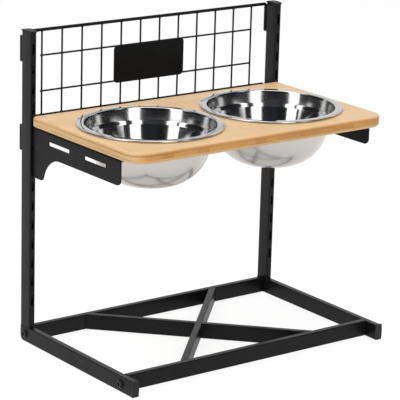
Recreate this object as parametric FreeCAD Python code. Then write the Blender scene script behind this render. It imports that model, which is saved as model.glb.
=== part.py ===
import FreeCAD
import Part
import math
import os

Vector = FreeCAD.Vector

# Adjustable raised dog bowl stand. Millimetres, +Z up, +X to the right as seen from the front,
# +Y to the back. The origin is on the floor, in the middle of the whole stand.

# Side frames of rectangular steel tube
overall_width = 464.0
foot_reach = 271.5
post_height = 475.0
tube_width = 10.0
tube_depth = 24.0
tube_wall = 1.2
tube_corner = 1.5
least_corner = 0.2
heel_radius = 9.0

# Row of hook slots in the front and rear faces of each post
slot_count = 14
slot_width = 4.0
slot_height = 16.0
lowest_slot = 67.25
post_above_slots = 24.25

# Plastic caps and plugs in the tube ends
cap_overhang = 1.2
cap_thickness = 1.6
cap_crown = 1.2
cap_corner = 2.4
plug_thickness = 1.2
plug_crown = 0.8
stem_length = 11.0
stem_thickness = 3.0
fin_count = 3
fin_thickness = 1.4
fin_clearance = 0.1

# Welded base: a front bar, a rear bar and a crossed brace between them
bar_lift = 0.5
front_bar_setback = 30.5
brace_spread = 244.0

# Bolts through the side frames into threaded inserts in the ends of the bars
bolt_clearance = 0.3
bolt_grip = 11.0
bolt_head_radius = 5.25
bolt_head_height = 3.3
bolt_socket_across = 4.0
bolt_socket_depth = 2.0
insert_length = 14.0
insert_wall = 0.7
insert_clearance = 0.05
thread_clearance = 0.05

# Hooks cut from sheet, which drop into the slots
sheet = 2.0
hook_neck = 6.0
hook_lip = 7.0
hook_lip_width = 3.0
hook_nose = 1.2
hook_face_gap = 0.3
hook_seat_gap = 0.05

# Shelf board
board_side_inset = 3.0
board_depth = 263.0
board_thickness = 16.5
board_rear_gap = 0.5
board_front_corner = 29.0
board_rear_corner = 6.0
board_edge_round = 4.0
hole_edge_round = 1.5
hook_to_board = 61.25
shelf_slot = 7
shelf_hooks = 2

# Shelf brackets
bracket_length = 226.0
bracket_height = 37.0
bracket_below_slot = 14.25
bracket_foot = 27.0
bracket_foot_corner = 4.0
bracket_foot_straight = 1.5
bracket_nose = 9.0
bracket_flange = 13.5
bracket_bend = 2.5
bracket_cap_gap = 0.5
bracket_slot_height = 6.0
bracket_slot_corner = 1.5
bracket_slot_drop = 16.0
bracket_slot_rear_margin = 43.0
bracket_slot_gap = 38.5
bracket_slot_front_margin = 36.5

# Wood screws up through the bracket flanges
rear_screw_place = 22.0
middle_screw_place = 116.0
front_screw_margin = 18.0
screw_radius = 1.75
screw_length = 13.0
screw_head_radius = 3.6
screw_head_height = 2.2
screw_head_gap = 0.9
screw_clearance = 0.4
pilot_clearance = 0.03

# Bowls of pressed steel sheet, hung by their rims
bowl_side_margin = 10.0
bowl_rim_gap = 6.0
bowl_forward = 0.5
bowl_lip = 8.5
bowl_depth = 90.0
bowl_sheet = 0.8
bowl_bead = 1.5
bowl_bend = 2.5
bowl_step_depth = 19.0
bowl_step_height = 4.2
bowl_step_bend = 3.0
bowl_side_radius = 65.0
bowl_upper_lean = 10.0
bowl_step_lean = 38.0
bowl_lower_lean = 16.5
bowl_hole_clearance = 1.7
bowl_seat_gap = 0.25

# Wire guard that hooks on behind the posts
rod_radius = 2.5
rod_bend = 3.5
rod_post_gap = 1.7
rod_tail = 5.0
guard_reach = 11.5
wire_radius = 1.4
wire_count = 12
wire_side_gap = 28.75
wire_overrun = 0.5
weld_gap = 0.05
lower_wire_rise = 36.2
upper_wire_drop = 39.0
top_plate_slot = 13
bottom_plate_slot = 9
top_plate_rise = 15.25
bottom_plate_drop = 0.25
top_rod_rise = 5.5
bottom_rod_rise = 10.0
hook_plate_height = 39.0
hook_plate_corner = 2.0

# Bare plate in the middle of the guard
name_plate_width = 127.0
name_plate_height = 53.0
name_plate_thickness = 1.5
name_plate_corner = 4.0
name_plate_rise = 64.0

# Places worked out from the dimensions above
overall_depth = foot_reach + tube_depth + guard_reach
front_y = -overall_depth / 2.0
post_front_y = front_y + foot_reach
post_rear_y = post_front_y + tube_depth
post_middle_y = post_front_y + tube_depth / 2.0
guard_rear_y = post_rear_y + guard_reach
side_x = overall_width / 2.0
post_x = side_x - tube_width / 2.0
inner_x = side_x - tube_width
inner_corner = max(tube_corner - tube_wall, least_corner)
front_bar_y = front_y + front_bar_setback
rear_bar_y = post_middle_y
bar_middle_z = bar_lift + tube_depth / 2.0
foot_tube_front_y = front_y + plug_thickness + plug_crown
board_width = overall_width - 2.0 * board_side_inset
board_rear_y = post_front_y - board_rear_gap
board_front_y = board_rear_y - board_depth
bowl_rim_radius = (board_width - 2.0 * bowl_side_margin - bowl_rim_gap) / 4.0
bowl_throat_radius = bowl_rim_radius - bowl_lip
bowl_x = bowl_rim_radius + bowl_rim_gap / 2.0
bowl_y = (board_front_y + board_rear_y) / 2.0 - bowl_forward
bolt_radius = tube_width / 2.0 - tube_wall - insert_clearance - insert_wall - thread_clearance
rod_end_x = post_x - sheet / 2.0 - rod_radius - weld_gap
wire_spacing = 2.0 * (rod_end_x - wire_side_gap) / (wire_count - 1)
rod_y = post_rear_y + rod_post_gap + rod_radius
cross_wire_y = rod_y + 2.0 * wire_radius + weld_gap
name_plate_rear_y = rod_y - wire_radius - weld_gap
slot_pitch = (post_height - lowest_slot - post_above_slots) / (slot_count - 1)
slot_radius = slot_width / 2.0
# A sheet hook in a round-ended slot rests on the two sides of the round end.
slot_seat_rise = slot_radius - math.sqrt(slot_radius ** 2 - (sheet / 2.0) ** 2)


def slot_height_at(index):
    return lowest_slot + index * slot_pitch


def hook_seat_height(index):
    return slot_height_at(index) - slot_height / 2.0 + slot_seat_rise + hook_seat_gap


board_bottom_z = slot_height_at(shelf_slot) + hook_to_board
board_top_z = board_bottom_z + board_thickness
# The bracket's rear edge stands clear of the cap when the shelf hangs in the highest slots.
bracket_rear_y = post_front_y - cap_overhang - bracket_cap_gap
bracket_leg = hook_to_board + bracket_below_slot
bracket_arch = bracket_leg - bracket_height - bracket_foot_corner - bracket_foot_straight
bracket_slots_room = bracket_length - bracket_slot_rear_margin - bracket_slot_gap - bracket_slot_front_margin
bracket_slot_length = bracket_slots_room / 2.0
rear_slot_place = bracket_slot_rear_margin + bracket_slot_length / 2.0
front_slot_place = bracket_length - bracket_slot_front_margin - bracket_slot_length / 2.0
screw_places = (rear_screw_place, middle_screw_place, bracket_length - front_screw_margin)
screw_x = post_x - sheet / 2.0 - screw_head_radius - screw_head_gap
top_plate_z = slot_height_at(top_plate_slot) + top_plate_rise
bottom_plate_z = slot_height_at(bottom_plate_slot) - bottom_plate_drop
top_rod_z = top_plate_z + top_rod_rise
bottom_rod_z = bottom_plate_z + bottom_rod_rise


def towards(start, end):
    """The unit vector from one place to another."""
    direction = end.sub(start)
    direction.normalize()
    return direction


def rounded_outline(corners):
    """A closed wire in the XY plane through right-angled corners, given as (x, y, radius) in turn."""
    places = [Vector(x, y, 0) for x, y, radius in corners]
    arcs = []
    for index, (x, y, radius) in enumerate(corners):
        here = places[index]
        back = towards(here, places[index - 1]) * radius
        ahead = towards(here, places[(index + 1) % len(places)]) * radius
        arcs.append((here + back, here + (back + ahead) * (1.0 - math.sqrt(0.5)), here + ahead))
    edges = []
    for index, (start, middle, end) in enumerate(arcs):
        following = arcs[(index + 1) % len(arcs)][0]
        edges.append(Part.Arc(start, middle, end).toShape())
        edges.append(Part.makeLine(end, following))
    return Part.Wire(edges)


def rounded_rectangle(wide, tall, radius):
    """A closed wire in the XY plane, centred on the origin."""
    x = wide / 2.0
    y = tall / 2.0
    return rounded_outline([(x, y, radius), (-x, y, radius), (-x, -y, radius), (x, -y, radius)])


def obround(wide, tall):
    """An upright slot with round ends, as a closed wire in the XY plane."""
    radius = wide / 2.0
    straight = tall / 2.0 - radius
    high = Vector(0, straight + radius, 0)
    low = Vector(0, -straight - radius, 0)
    return Part.Wire([
        Part.Arc(Vector(radius, straight, 0), high, Vector(-radius, straight, 0)).toShape(),
        Part.makeLine(Vector(-radius, straight, 0), Vector(-radius, -straight, 0)),
        Part.Arc(Vector(-radius, -straight, 0), low, Vector(radius, -straight, 0)).toShape(),
        Part.makeLine(Vector(radius, -straight, 0), Vector(radius, straight, 0)),
    ])


def rounded_bar(wide, tall, radius, length):
    """A solid bar along +Z from the origin."""
    return Part.Face(rounded_rectangle(wide, tall, radius)).extrude(Vector(0, 0, length))


def tube_along_z(wide, tall, length):
    outer = rounded_bar(wide, tall, tube_corner, length)
    inner = rounded_bar(wide - 2.0 * tube_wall, tall - 2.0 * tube_wall, inner_corner, length)
    return outer.cut(inner)


def lay_along_x(shape):
    shape.rotate(Vector(0, 0, 0), Vector(0, 1, 0), 90)
    return shape


def lay_along_y(shape):
    shape.rotate(Vector(0, 0, 0), Vector(1, 0, 0), -90)
    return shape


def moved(shape, x, y, z):
    shape.translate(Vector(x, y, z))
    return shape


def prism(points, thickness, x_start):
    """A plate outlined by (y, z) points and extruded along +X."""
    corners = [Vector(x_start, y, z) for y, z in points]
    wire = Part.makePolygon(corners + [corners[0]])
    return Part.Face(wire).extrude(Vector(thickness, 0, 0))


def rounded_along_x(shape, place_y, place_z, radius):
    """Round the edges along X that pass through one (y, z) place."""
    edges = []
    for edge in shape.Edges:
        ends = [vertex.Point for vertex in edge.Vertexes]
        if len(ends) != 2:
            continue
        near = [abs(end.y - place_y) + abs(end.z - place_z) < 0.01 for end in ends]
        if all(near):
            edges.append(edge)
    return shape.makeFillet(radius, edges)


def mirrored(shape):
    return shape.mirror(Vector(0, 0, 0), Vector(1, 0, 0))


def corner_waste(rear, bottom, radius, wide):
    """What is cut away to round the lower rear corner of a bar that is centred on X."""
    block = Part.makeBox(wide, radius, radius, Vector(-wide / 2.0, rear - radius, bottom))
    centre = Vector(-wide / 2.0, rear - radius, bottom + radius)
    return block.cut(Part.makeCylinder(radius, wide, centre, Vector(1, 0, 0)))


def bolt_hole(x, y, z, length):
    start = Vector(x - length / 2.0, y, z)
    return Part.makeCylinder(bolt_radius + bolt_clearance, length, start, Vector(1, 0, 0))


# Foot bars: closed and rounded at the heel, open at the front for a plug
def foot_bar():
    length = post_rear_y - foot_tube_front_y
    outer = lay_along_y(rounded_bar(tube_width, tube_depth, tube_corner, length))
    outer = moved(outer, 0, foot_tube_front_y, tube_depth / 2.0)
    outer = outer.cut(corner_waste(post_rear_y, 0, heel_radius, tube_width))
    hollow_wide = tube_width - 2.0 * tube_wall
    hollow_tall = tube_depth - 2.0 * tube_wall
    hollow = lay_along_y(rounded_bar(hollow_wide, hollow_tall, inner_corner, length - tube_wall))
    hollow = moved(hollow, 0, foot_tube_front_y, tube_depth / 2.0)
    hollow_heel = max(heel_radius - tube_wall, least_corner)
    hollow = hollow.cut(corner_waste(post_rear_y - tube_wall, tube_wall, hollow_heel, hollow_wide))
    bar = outer.cut(hollow)
    for y in (front_bar_y, rear_bar_y):
        bar = bar.cut(bolt_hole(0, y, bar_middle_z, tube_width))
    return bar


# Posts: each stands on its foot bar and has a row of slots through both narrow faces
def slot_cutter(height):
    cutter = Part.Face(obround(slot_width, slot_height)).extrude(Vector(0, 0, tube_depth))
    return moved(lay_along_y(cutter), 0, post_front_y, height)


def post():
    tube = tube_along_z(tube_width, tube_depth, post_height - tube_depth)
    tube = moved(tube, 0, post_middle_y, tube_depth)
    cutters = [slot_cutter(slot_height_at(index)) for index in range(slot_count)]
    return tube.cut(Part.makeCompound(cutters))


# Caps and plugs: a crowned head over the tube end, and a finned stem inside it
def tube_end_plug(head_wide, head_tall, head_corner, thickness, crown):
    """A plug that points down, with the underside of its head at the origin."""
    head = rounded_bar(head_wide, head_tall, head_corner, thickness + crown)
    crown_radius = ((head_tall / 2.0) ** 2 + crown ** 2) / (2.0 * crown)
    centre = Vector(-head_wide, 0, thickness + crown - crown_radius)
    head = head.common(Part.makeCylinder(crown_radius, 2.0 * head_wide, centre, Vector(1, 0, 0)))
    inside_wide = tube_width - 2.0 * (tube_wall + fin_clearance)
    inside_tall = tube_depth - 2.0 * (tube_wall + fin_clearance)
    stem_tall = inside_tall - 2.0 * stem_thickness
    stem = Part.makeBox(stem_thickness, stem_tall, stem_length)
    stem.translate(Vector(-stem_thickness / 2.0, -stem_tall / 2.0, -stem_length))
    solid = head.fuse(stem)
    fin_step = stem_length / fin_count
    for index in range(fin_count):
        fin = rounded_bar(inside_wide, inside_tall, inner_corner, fin_thickness)
        solid = solid.fuse(moved(fin, 0, 0, -(index + 1) * fin_step))
    return solid.removeSplitter()


def post_cap():
    wide = tube_width + 2.0 * cap_overhang
    tall = tube_depth + 2.0 * cap_overhang
    cap = tube_end_plug(wide, tall, cap_corner, cap_thickness, cap_crown)
    return moved(cap, 0, post_middle_y, post_height)


def foot_plug():
    plug = tube_end_plug(tube_width, tube_depth, tube_corner, plug_thickness, plug_crown)
    plug.rotate(Vector(0, 0, 0), Vector(1, 0, 0), 90)
    return moved(plug, 0, foot_tube_front_y, tube_depth / 2.0)


# Base bars between the foot bars
def cross_bar(y):
    bar = lay_along_x(tube_along_z(tube_depth, tube_width, 2.0 * inner_x))
    return moved(bar, -inner_x, y, bar_middle_z)


def brace_blank(direction, solid):
    """One diagonal before its ends are cut, as a tube or as the solid space that it fills."""
    run_x = brace_spread * direction
    run_y = rear_bar_y - front_bar_y
    length = math.hypot(run_x, run_y) + 4.0 * tube_width
    if solid:
        blank = rounded_bar(tube_depth, tube_width, tube_corner, length)
    else:
        blank = tube_along_z(tube_depth, tube_width, length)
    blank = moved(lay_along_x(blank), -length / 2.0, 0, 0)
    blank.rotate(Vector(0, 0, 0), Vector(0, 0, 1), math.degrees(math.atan2(run_y, run_x)))
    return moved(blank, 0, (front_bar_y + rear_bar_y) / 2.0, bar_middle_z)


def brace_room():
    """The space between the facing sides of the front and rear bars."""
    start_y = front_bar_y + tube_width / 2.0
    depth = rear_bar_y - front_bar_y - tube_width
    return Part.makeBox(2.0 * inner_x, depth, tube_depth, Vector(-inner_x, start_y, bar_lift))


def through_brace():
    return brace_blank(1, False).common(brace_room())


def brace_halves():
    """The other diagonal, in two pieces that butt against the one that runs through."""
    pieces = brace_blank(-1, False).common(brace_room()).cut(brace_blank(1, True))
    return sorted(pieces.Solids, key=lambda solid: solid.CenterOfMass.y)


# Fasteners of the base
def bar_insert():
    """A threaded block in the right-hand end of a bar, with its bore along X."""
    wide = tube_width - 2.0 * (tube_wall + insert_clearance)
    tall = tube_depth - 2.0 * (tube_wall + insert_clearance)
    block = lay_along_x(rounded_bar(tall, wide, inner_corner, insert_length))
    bore = Part.makeCylinder(bolt_radius + thread_clearance, insert_length, Vector(0, 0, 0), Vector(1, 0, 0))
    return moved(block.cut(bore), inner_x - insert_length, 0, bar_middle_z)


def frame_bolt():
    """A button head bolt with a hexagon socket, on the right-hand side."""
    dome_radius = (bolt_head_radius ** 2 + bolt_head_height ** 2) / (2.0 * bolt_head_height)
    head = Part.makeCylinder(bolt_head_radius, bolt_head_height)
    head = head.common(Part.makeSphere(dome_radius, Vector(0, 0, bolt_head_height - dome_radius)))
    corner = bolt_socket_across / math.sqrt(3.0)
    points = []
    for index in range(7):
        angle = math.radians(60.0 * index)
        points.append(Vector(corner * math.cos(angle), corner * math.sin(angle), bolt_head_height))
    socket = Part.Face(Part.makePolygon(points)).extrude(Vector(0, 0, -bolt_socket_depth))
    shank_length = tube_width + bolt_grip
    shank = Part.makeCylinder(bolt_radius, shank_length, Vector(0, 0, -shank_length))
    bolt = head.fuse(shank).cut(socket).removeSplitter()
    return moved(lay_along_x(bolt), side_x, 0, bar_middle_z)


def at_four_corners(piece):
    solids = []
    for y in (front_bar_y, rear_bar_y):
        right = moved(piece.copy(), 0, y, 0)
        solids.append(right)
        solids.append(mirrored(right))
    return Part.makeCompound(solids)


# Sheet hooks
def hook_points(face_y, inward, seat_z):
    """Outline of one hook from its neck's top to its underside, as (y, z) points.

    The face of the tube is at face_y, and inward is +1 or -1, towards the inside of the post.
    """
    behind_wall = face_y + inward * (tube_wall + hook_face_gap)
    tip = behind_wall + inward * hook_lip_width
    root = face_y - inward * hook_face_gap
    top = seat_z + hook_neck
    bottom = seat_z - hook_lip
    return [
        (root, top),
        (tip - inward * hook_nose, top),
        (tip, top - hook_nose),
        (tip, bottom + hook_nose),
        (tip - inward * hook_nose, bottom),
        (behind_wall, bottom),
        (behind_wall, seat_z),
        (root, seat_z),
    ]


# Brackets: one bent sheet with hooks, a leg, an arch, two slots and a flange under the board
def bracket_plate(x_start):
    root_y = post_front_y - hook_face_gap
    nose_y = post_front_y - bracket_length
    low_z = board_bottom_z - bracket_height
    foot_z = board_bottom_z - bracket_leg
    foot_y = root_y - bracket_foot
    hooks = []
    for index in reversed(range(shelf_slot, shelf_slot + shelf_hooks)):
        hooks += hook_points(post_front_y, 1, hook_seat_height(index))
    points = [(bracket_rear_y, board_bottom_z), (bracket_rear_y, hooks[0][1])] + hooks
    points += [
        (root_y, foot_z),
        (foot_y, foot_z),
        (foot_y, low_z),
        (nose_y, low_z),
        (nose_y, board_bottom_z),
    ]
    plate = prism(points, sheet, x_start)
    plate = rounded_along_x(plate, foot_y, low_z, bracket_arch)
    plate = rounded_along_x(plate, foot_y, foot_z, bracket_foot_corner)
    plate = rounded_along_x(plate, nose_y, low_z, bracket_nose)
    for place in (rear_slot_place, front_slot_place):
        cutter = rounded_bar(bracket_slot_length, bracket_slot_height, bracket_slot_corner, sheet)
        cutter.rotate(Vector(0, 0, 0), Vector(1, 1, 1), 120)
        z = board_bottom_z - bracket_slot_drop
        plate = plate.cut(moved(cutter, x_start, post_front_y - place, z))
    return plate


def right_bracket():
    plate = bracket_plate(post_x - sheet / 2.0)
    outer_x = post_x + sheet / 2.0
    start_y = post_front_y - bracket_length
    flange = Part.makeBox(bracket_flange, bracket_rear_y - start_y, sheet)
    flange = moved(flange, outer_x - bracket_flange, start_y, board_bottom_z - sheet)
    bracket = plate.fuse(flange).removeSplitter()
    bend_edges = []
    for edge in bracket.Edges:
        middle = edge.CenterOfMass
        on_bend = abs(middle.x - outer_x) < 0.01 and abs(middle.z - board_bottom_z) < 0.01
        if on_bend and edge.Length > bracket_length / 2.0:
            bend_edges.append(edge)
    bracket = bracket.makeFillet(bracket_bend, bend_edges)
    for place in screw_places:
        start = Vector(screw_x, post_front_y - place, board_bottom_z - sheet)
        bracket = bracket.cut(Part.makeCylinder(screw_radius + screw_clearance, sheet, start))
    return bracket


def bracket_screw(place):
    """A pan head wood screw that points up, on the right-hand side."""
    under_flange = board_bottom_z - sheet
    head = Part.makeCylinder(screw_head_radius, screw_head_height)
    head = head.makeFillet(screw_head_height * 0.6, [head.Edges[2]])
    head = moved(head, 0, 0, -screw_head_height)
    cone_length = 2.0 * screw_radius
    shank = Part.makeCylinder(screw_radius, screw_length - cone_length)
    tip_start = Vector(0, 0, screw_length - cone_length)
    tip = Part.makeCone(screw_radius, screw_radius * 0.2, cone_length, tip_start)
    screw = head.fuse(shank).fuse(tip).removeSplitter()
    return moved(screw, screw_x, post_front_y - place, under_flange)


def bracket_screws():
    solids = []
    for place in screw_places:
        right = bracket_screw(place)
        solids.append(right)
        solids.append(mirrored(right))
    return Part.makeCompound(solids)


# Board: rounded corners and edges, two bowl holes and pilot holes for the screws
def board_outline():
    half = board_width / 2.0
    return rounded_outline([
        (half, board_rear_y, board_rear_corner),
        (-half, board_rear_y, board_rear_corner),
        (-half, board_front_y, board_front_corner),
        (half, board_front_y, board_front_corner),
    ])


def hole_radius():
    """The hole clears the bowl's wall where it passes the top of the board."""
    wall_top = bowl_throat_radius - bowl_bend * math.cos(math.radians(bowl_upper_lean))
    return wall_top + bowl_hole_clearance


def shelf_board():
    board = Part.Face(board_outline()).extrude(Vector(0, 0, board_thickness))
    rim_edges = []
    for edge in board.Edges:
        ends = [vertex.Point.z for vertex in edge.Vertexes]
        if abs(ends[0] - ends[-1]) < 0.01:
            rim_edges.append(edge)
    board = board.makeFillet(board_edge_round, rim_edges)
    board = moved(board, 0, 0, board_bottom_z)
    for side in (-1, 1):
        centre = Vector(side * bowl_x, bowl_y, board_bottom_z)
        board = board.cut(Part.makeCylinder(hole_radius(), board_thickness, centre))
    hole_edges = []
    for edge in board.Edges:
        if isinstance(edge.Curve, Part.Circle) and abs(edge.Curve.Radius - hole_radius()) < 0.01:
            hole_edges.append(edge)
    board = board.makeFillet(hole_edge_round, hole_edges)
    for place in screw_places:
        for side in (-1, 1):
            start = Vector(side * screw_x, post_front_y - place, board_bottom_z)
            depth = screw_length - sheet + pilot_clearance
            board = board.cut(Part.makeCylinder(screw_radius + pilot_clearance, depth, start))
    return board


# Bowls: one bent sheet turned about its axis
def bent_line(corners, offset):
    """Edges of a bent line in the XZ plane, moved to the left of its course by an offset.

    The corners are (x, z, radius) in turn, and the first and the last of them have no bend.
    """
    places = [Vector(x, 0, z) for x, z, radius in corners]
    courses = [towards(here, there) for here, there in zip(places, places[1:])]
    lefts = [Vector(-course.z, 0, course.x) for course in courses]
    edges = []
    start = places[0] + lefts[0] * offset
    for index in range(1, len(corners) - 1):
        before = courses[index - 1]
        after = courses[index]
        turn = math.atan2(before.x * after.z - before.z * after.x, before.dot(after))
        radius = corners[index][2] - math.copysign(offset, turn)
        sides = lefts[index - 1] + lefts[index]
        corner = places[index] + sides * (offset / (1.0 + lefts[index - 1].dot(lefts[index])))
        run = radius * math.tan(abs(turn) / 2.0)
        inward = towards(before, after)
        middle = corner + inward * (radius / math.cos(turn / 2.0) - radius)
        edges.append(Part.makeLine(start, corner - before * run))
        start = corner + after * run
        edges.append(Part.Arc(corner - before * run, middle, start).toShape())
    edges.append(Part.makeLine(start, places[-1] + lefts[-1] * offset))
    return edges


def lean_in(lean, drop):
    """How far a wall that leans by some degrees comes in over a drop."""
    return math.tan(math.radians(lean)) * drop


def bowl():
    """A bowl about the Z axis, with its rim at the height where it sits on the board."""
    top = board_top_z + bowl_seat_gap + 2.0 * bowl_bead
    under = top - bowl_sheet
    bottom = top - bowl_depth
    step_top = top - bowl_step_depth
    step_bottom = step_top - bowl_step_height
    throat_x = bowl_throat_radius - lean_in((90.0 - bowl_upper_lean) / 2.0, bowl_bend)
    step_top_x = throat_x - lean_in(bowl_upper_lean, under - step_top)
    step_bottom_x = step_top_x - lean_in(bowl_step_lean, bowl_step_height)
    floor_x = step_bottom_x - lean_in(bowl_lower_lean, step_bottom - bottom)
    corners = [
        (0, bottom, 0),
        (floor_x, bottom, bowl_side_radius),
        (step_bottom_x, step_bottom, bowl_step_bend),
        (step_top_x, step_top, bowl_step_bend),
        (throat_x, under, bowl_bend),
    ]
    bead = Vector(bowl_rim_radius - bowl_bead, 0, top - bowl_bead)
    bead_rise = bowl_bead - bowl_sheet
    bead_inner = math.sqrt(bowl_bead ** 2 - bead_rise ** 2)
    bead_meets = bead + Vector(-bead_inner, 0, bead_rise)
    bead_low = bead - Vector(0, 0, bowl_bead)
    bead_top = bead + Vector(0, 0, bowl_bead)
    bead_back = bead + towards(bead, bead_meets + bead_low - bead) * bowl_bead
    edges = bent_line(corners + [(bead_meets.x, under, 0)], 0)
    edges.append(Part.Arc(bead_meets, bead_back, bead_low).toShape())
    edges.append(Part.Arc(bead_low, bead + Vector(bowl_bead, 0, 0), bead_top).toShape())
    edges += reversed(bent_line(corners + [(bead.x, under, 0)], bowl_sheet))
    edges.append(Part.makeLine(Vector(0, 0, bottom + bowl_sheet), Vector(0, 0, bottom)))
    profile = Part.Face(Part.Wire(edges))
    return profile.revolve(Vector(0, 0, 0), Vector(0, 0, 1), 360)


# Guard: thick rods turned down at both ends, thin wires and four hook plates
def hook_plate(slot, top):
    """A right-hand hook plate."""
    bottom = top - hook_plate_height
    root_y = post_rear_y + hook_face_gap
    points = [(root_y, top)]
    hook = hook_points(post_rear_y, -1, hook_seat_height(slot))
    if hook[0][1] > top - least_corner:
        points = []
    points += hook
    points += [
        (root_y, bottom),
        (guard_rear_y, bottom),
        (guard_rear_y, top),
    ]
    plate = prism(points, sheet, post_x - sheet / 2.0)
    plate = rounded_along_x(plate, guard_rear_y, bottom, hook_plate_corner)
    return rounded_along_x(plate, guard_rear_y, top, hook_plate_corner)


def guard_rod(height, plate_top):
    low = plate_top - hook_plate_height + rod_tail
    path = bent_line([
        (-rod_end_x, low, 0),
        (-rod_end_x, height, rod_bend),
        (rod_end_x, height, rod_bend),
        (rod_end_x, low, 0),
    ], 0)
    circle = Part.Circle(Vector(-rod_end_x, 0, low), Vector(0, 0, 1), rod_radius).toShape()
    rod = Part.Wire(path).makePipeShell([Part.Wire(circle)], True, False)
    return moved(rod, 0, rod_y, 0)


def upright_wire(index):
    x = (index - (wire_count - 1) / 2.0) * wire_spacing
    low = bottom_rod_z + rod_radius + weld_gap
    high = top_rod_z - rod_radius - weld_gap
    return Part.makeCylinder(wire_radius, high - low, Vector(x, rod_y, low))


def cross_wire(height):
    half = (wire_count - 1) / 2.0 * wire_spacing + wire_overrun
    return Part.makeCylinder(wire_radius, 2.0 * half, Vector(-half, cross_wire_y, height), Vector(1, 0, 0))


def name_plate():
    plate = rounded_bar(name_plate_width, name_plate_height, name_plate_corner, name_plate_thickness)
    plate.rotate(Vector(0, 0, 0), Vector(1, 0, 0), 90)
    return moved(plate, 0, name_plate_rear_y, bottom_rod_z + name_plate_rise)


def all_pieces():
    """Every node's name with its shape."""
    pieces = {}
    for side, sign in (("left", -1), ("right", 1)):
        pieces[side + "_post"] = moved(post(), sign * post_x, 0, 0)
        pieces[side + "_post_cap"] = moved(post_cap(), sign * post_x, 0, 0)
        pieces[side + "_foot_bar"] = moved(foot_bar(), sign * post_x, 0, 0)
        pieces[side + "_foot_plug"] = moved(foot_plug(), sign * post_x, 0, 0)
        pieces[side + "_bowl"] = moved(bowl(), sign * bowl_x, bowl_y, 0)
    pieces["front_bar"] = cross_bar(front_bar_y)
    pieces["rear_bar"] = cross_bar(rear_bar_y)
    pieces["through_brace"] = through_brace()
    front_half, rear_half = brace_halves()
    pieces["front_half_brace"] = front_half
    pieces["rear_half_brace"] = rear_half
    pieces["bar_inserts"] = at_four_corners(bar_insert())
    pieces["frame_bolts"] = at_four_corners(frame_bolt())
    pieces["shelf_board"] = shelf_board()
    bracket = right_bracket()
    pieces["right_bracket"] = bracket
    pieces["left_bracket"] = mirrored(bracket)
    pieces["bracket_screws"] = bracket_screws()
    levels = (
        ("top", top_plate_slot, top_plate_z, top_rod_z),
        ("bottom", bottom_plate_slot, bottom_plate_z, bottom_rod_z),
    )
    for level, slot, plate_z, rod_z in levels:
        pieces["guard_" + level + "_rod"] = guard_rod(rod_z, plate_z)
        plate = hook_plate(slot, plate_z)
        pieces["right_" + level + "_hook_plate"] = plate
        pieces["left_" + level + "_hook_plate"] = mirrored(plate)
    for index in range(wire_count):
        pieces["upright_wire_%02d" % (index + 1)] = upright_wire(index)
    pieces["lower_cross_wire"] = cross_wire(bottom_rod_z + lower_wire_rise)
    pieces["upper_cross_wire"] = cross_wire(top_rod_z - upper_wire_drop)
    pieces["name_plate"] = name_plate()
    return pieces


os.makedirs("parts", exist_ok=True)
for node, shape in all_pieces().items():
    shape.exportStep("parts/" + node + ".step")
    box = shape.BoundBox
    print(node, "solids", len(shape.Solids), "valid", shape.isValid(), "volume", round(shape.Volume, 1),
          "low", [round(value, 2) for value in (box.XMin, box.YMin, box.ZMin)],
          "high", [round(value, 2) for value in (box.XMax, box.YMax, box.ZMax)])
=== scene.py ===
"""Studio scene of an adjustable raised bowl stand.

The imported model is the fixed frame. Most of its steel parts keep their own solids and get a powder coat. The
bowls, the bamboo board, the brackets with their wide arches, the bare plate, the foot plugs with their proud
heads, the bolts' collars and the welds are modelled here. All sizes are in metres.
"""

from __future__ import annotations

import logging
import math
from dataclasses import dataclass, field, replace
from enum import Enum
from typing import ClassVar

import bmesh
import bpy
from bmesh.types import BMEdge, BMesh, BMVert
from bpy.types import Material, Node, NodeSocket, NodeTree, Object
from mathutils import Matrix, Vector


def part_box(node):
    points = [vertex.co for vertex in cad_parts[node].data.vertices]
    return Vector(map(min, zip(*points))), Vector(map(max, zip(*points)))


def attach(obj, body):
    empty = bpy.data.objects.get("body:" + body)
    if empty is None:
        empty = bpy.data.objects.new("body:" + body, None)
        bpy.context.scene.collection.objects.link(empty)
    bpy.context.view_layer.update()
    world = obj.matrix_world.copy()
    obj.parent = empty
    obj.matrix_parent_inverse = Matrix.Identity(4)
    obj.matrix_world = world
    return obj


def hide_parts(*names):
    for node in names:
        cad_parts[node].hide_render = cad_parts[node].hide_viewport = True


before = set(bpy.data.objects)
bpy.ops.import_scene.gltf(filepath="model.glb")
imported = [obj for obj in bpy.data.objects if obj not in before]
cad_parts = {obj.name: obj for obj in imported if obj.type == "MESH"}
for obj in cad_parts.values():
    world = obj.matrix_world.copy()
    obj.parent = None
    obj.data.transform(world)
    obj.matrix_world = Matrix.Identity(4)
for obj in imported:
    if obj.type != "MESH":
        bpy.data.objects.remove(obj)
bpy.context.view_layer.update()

LOG = logging.getLogger("bowl_stand")
MM = 0.001

# How close two places, two corners of a solid's triangles and two faces are when they count as one
SAME_PLACE = 1e-6
SAME_FACET = 2e-6
SNUG = 0.01 * MM

# The turns between faces at which a rim is rounded and a crease stays sharp
SHARP_TURN = 1.0
CREASE_TURN = math.radians(32.0)

QUARTER_TURN = math.pi / 2.0
ORIGIN = Vector((0.0, 0.0, 0.0))
UP = Vector((0.0, 0.0, 1.0))
WHITE = (1.0, 1.0, 1.0, 1.0)

Colour = tuple[float, float, float]
Triple = tuple[float, float, float]
Range = tuple[float, float]


class Side(Enum):
    """The two sides of the stand, as seen from the front."""

    LEFT = -1
    RIGHT = 1

    @property
    def word(self) -> str:
        """The side's name in node names."""
        return self.name.lower()


class Slot(Enum):
    """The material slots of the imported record."""

    STEEL = "black_steel"
    PLASTIC = "black_plastic"
    BOLT = "bolt_black"
    BOWL = "bowl_steel"
    BAMBOO = "bamboo"


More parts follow.
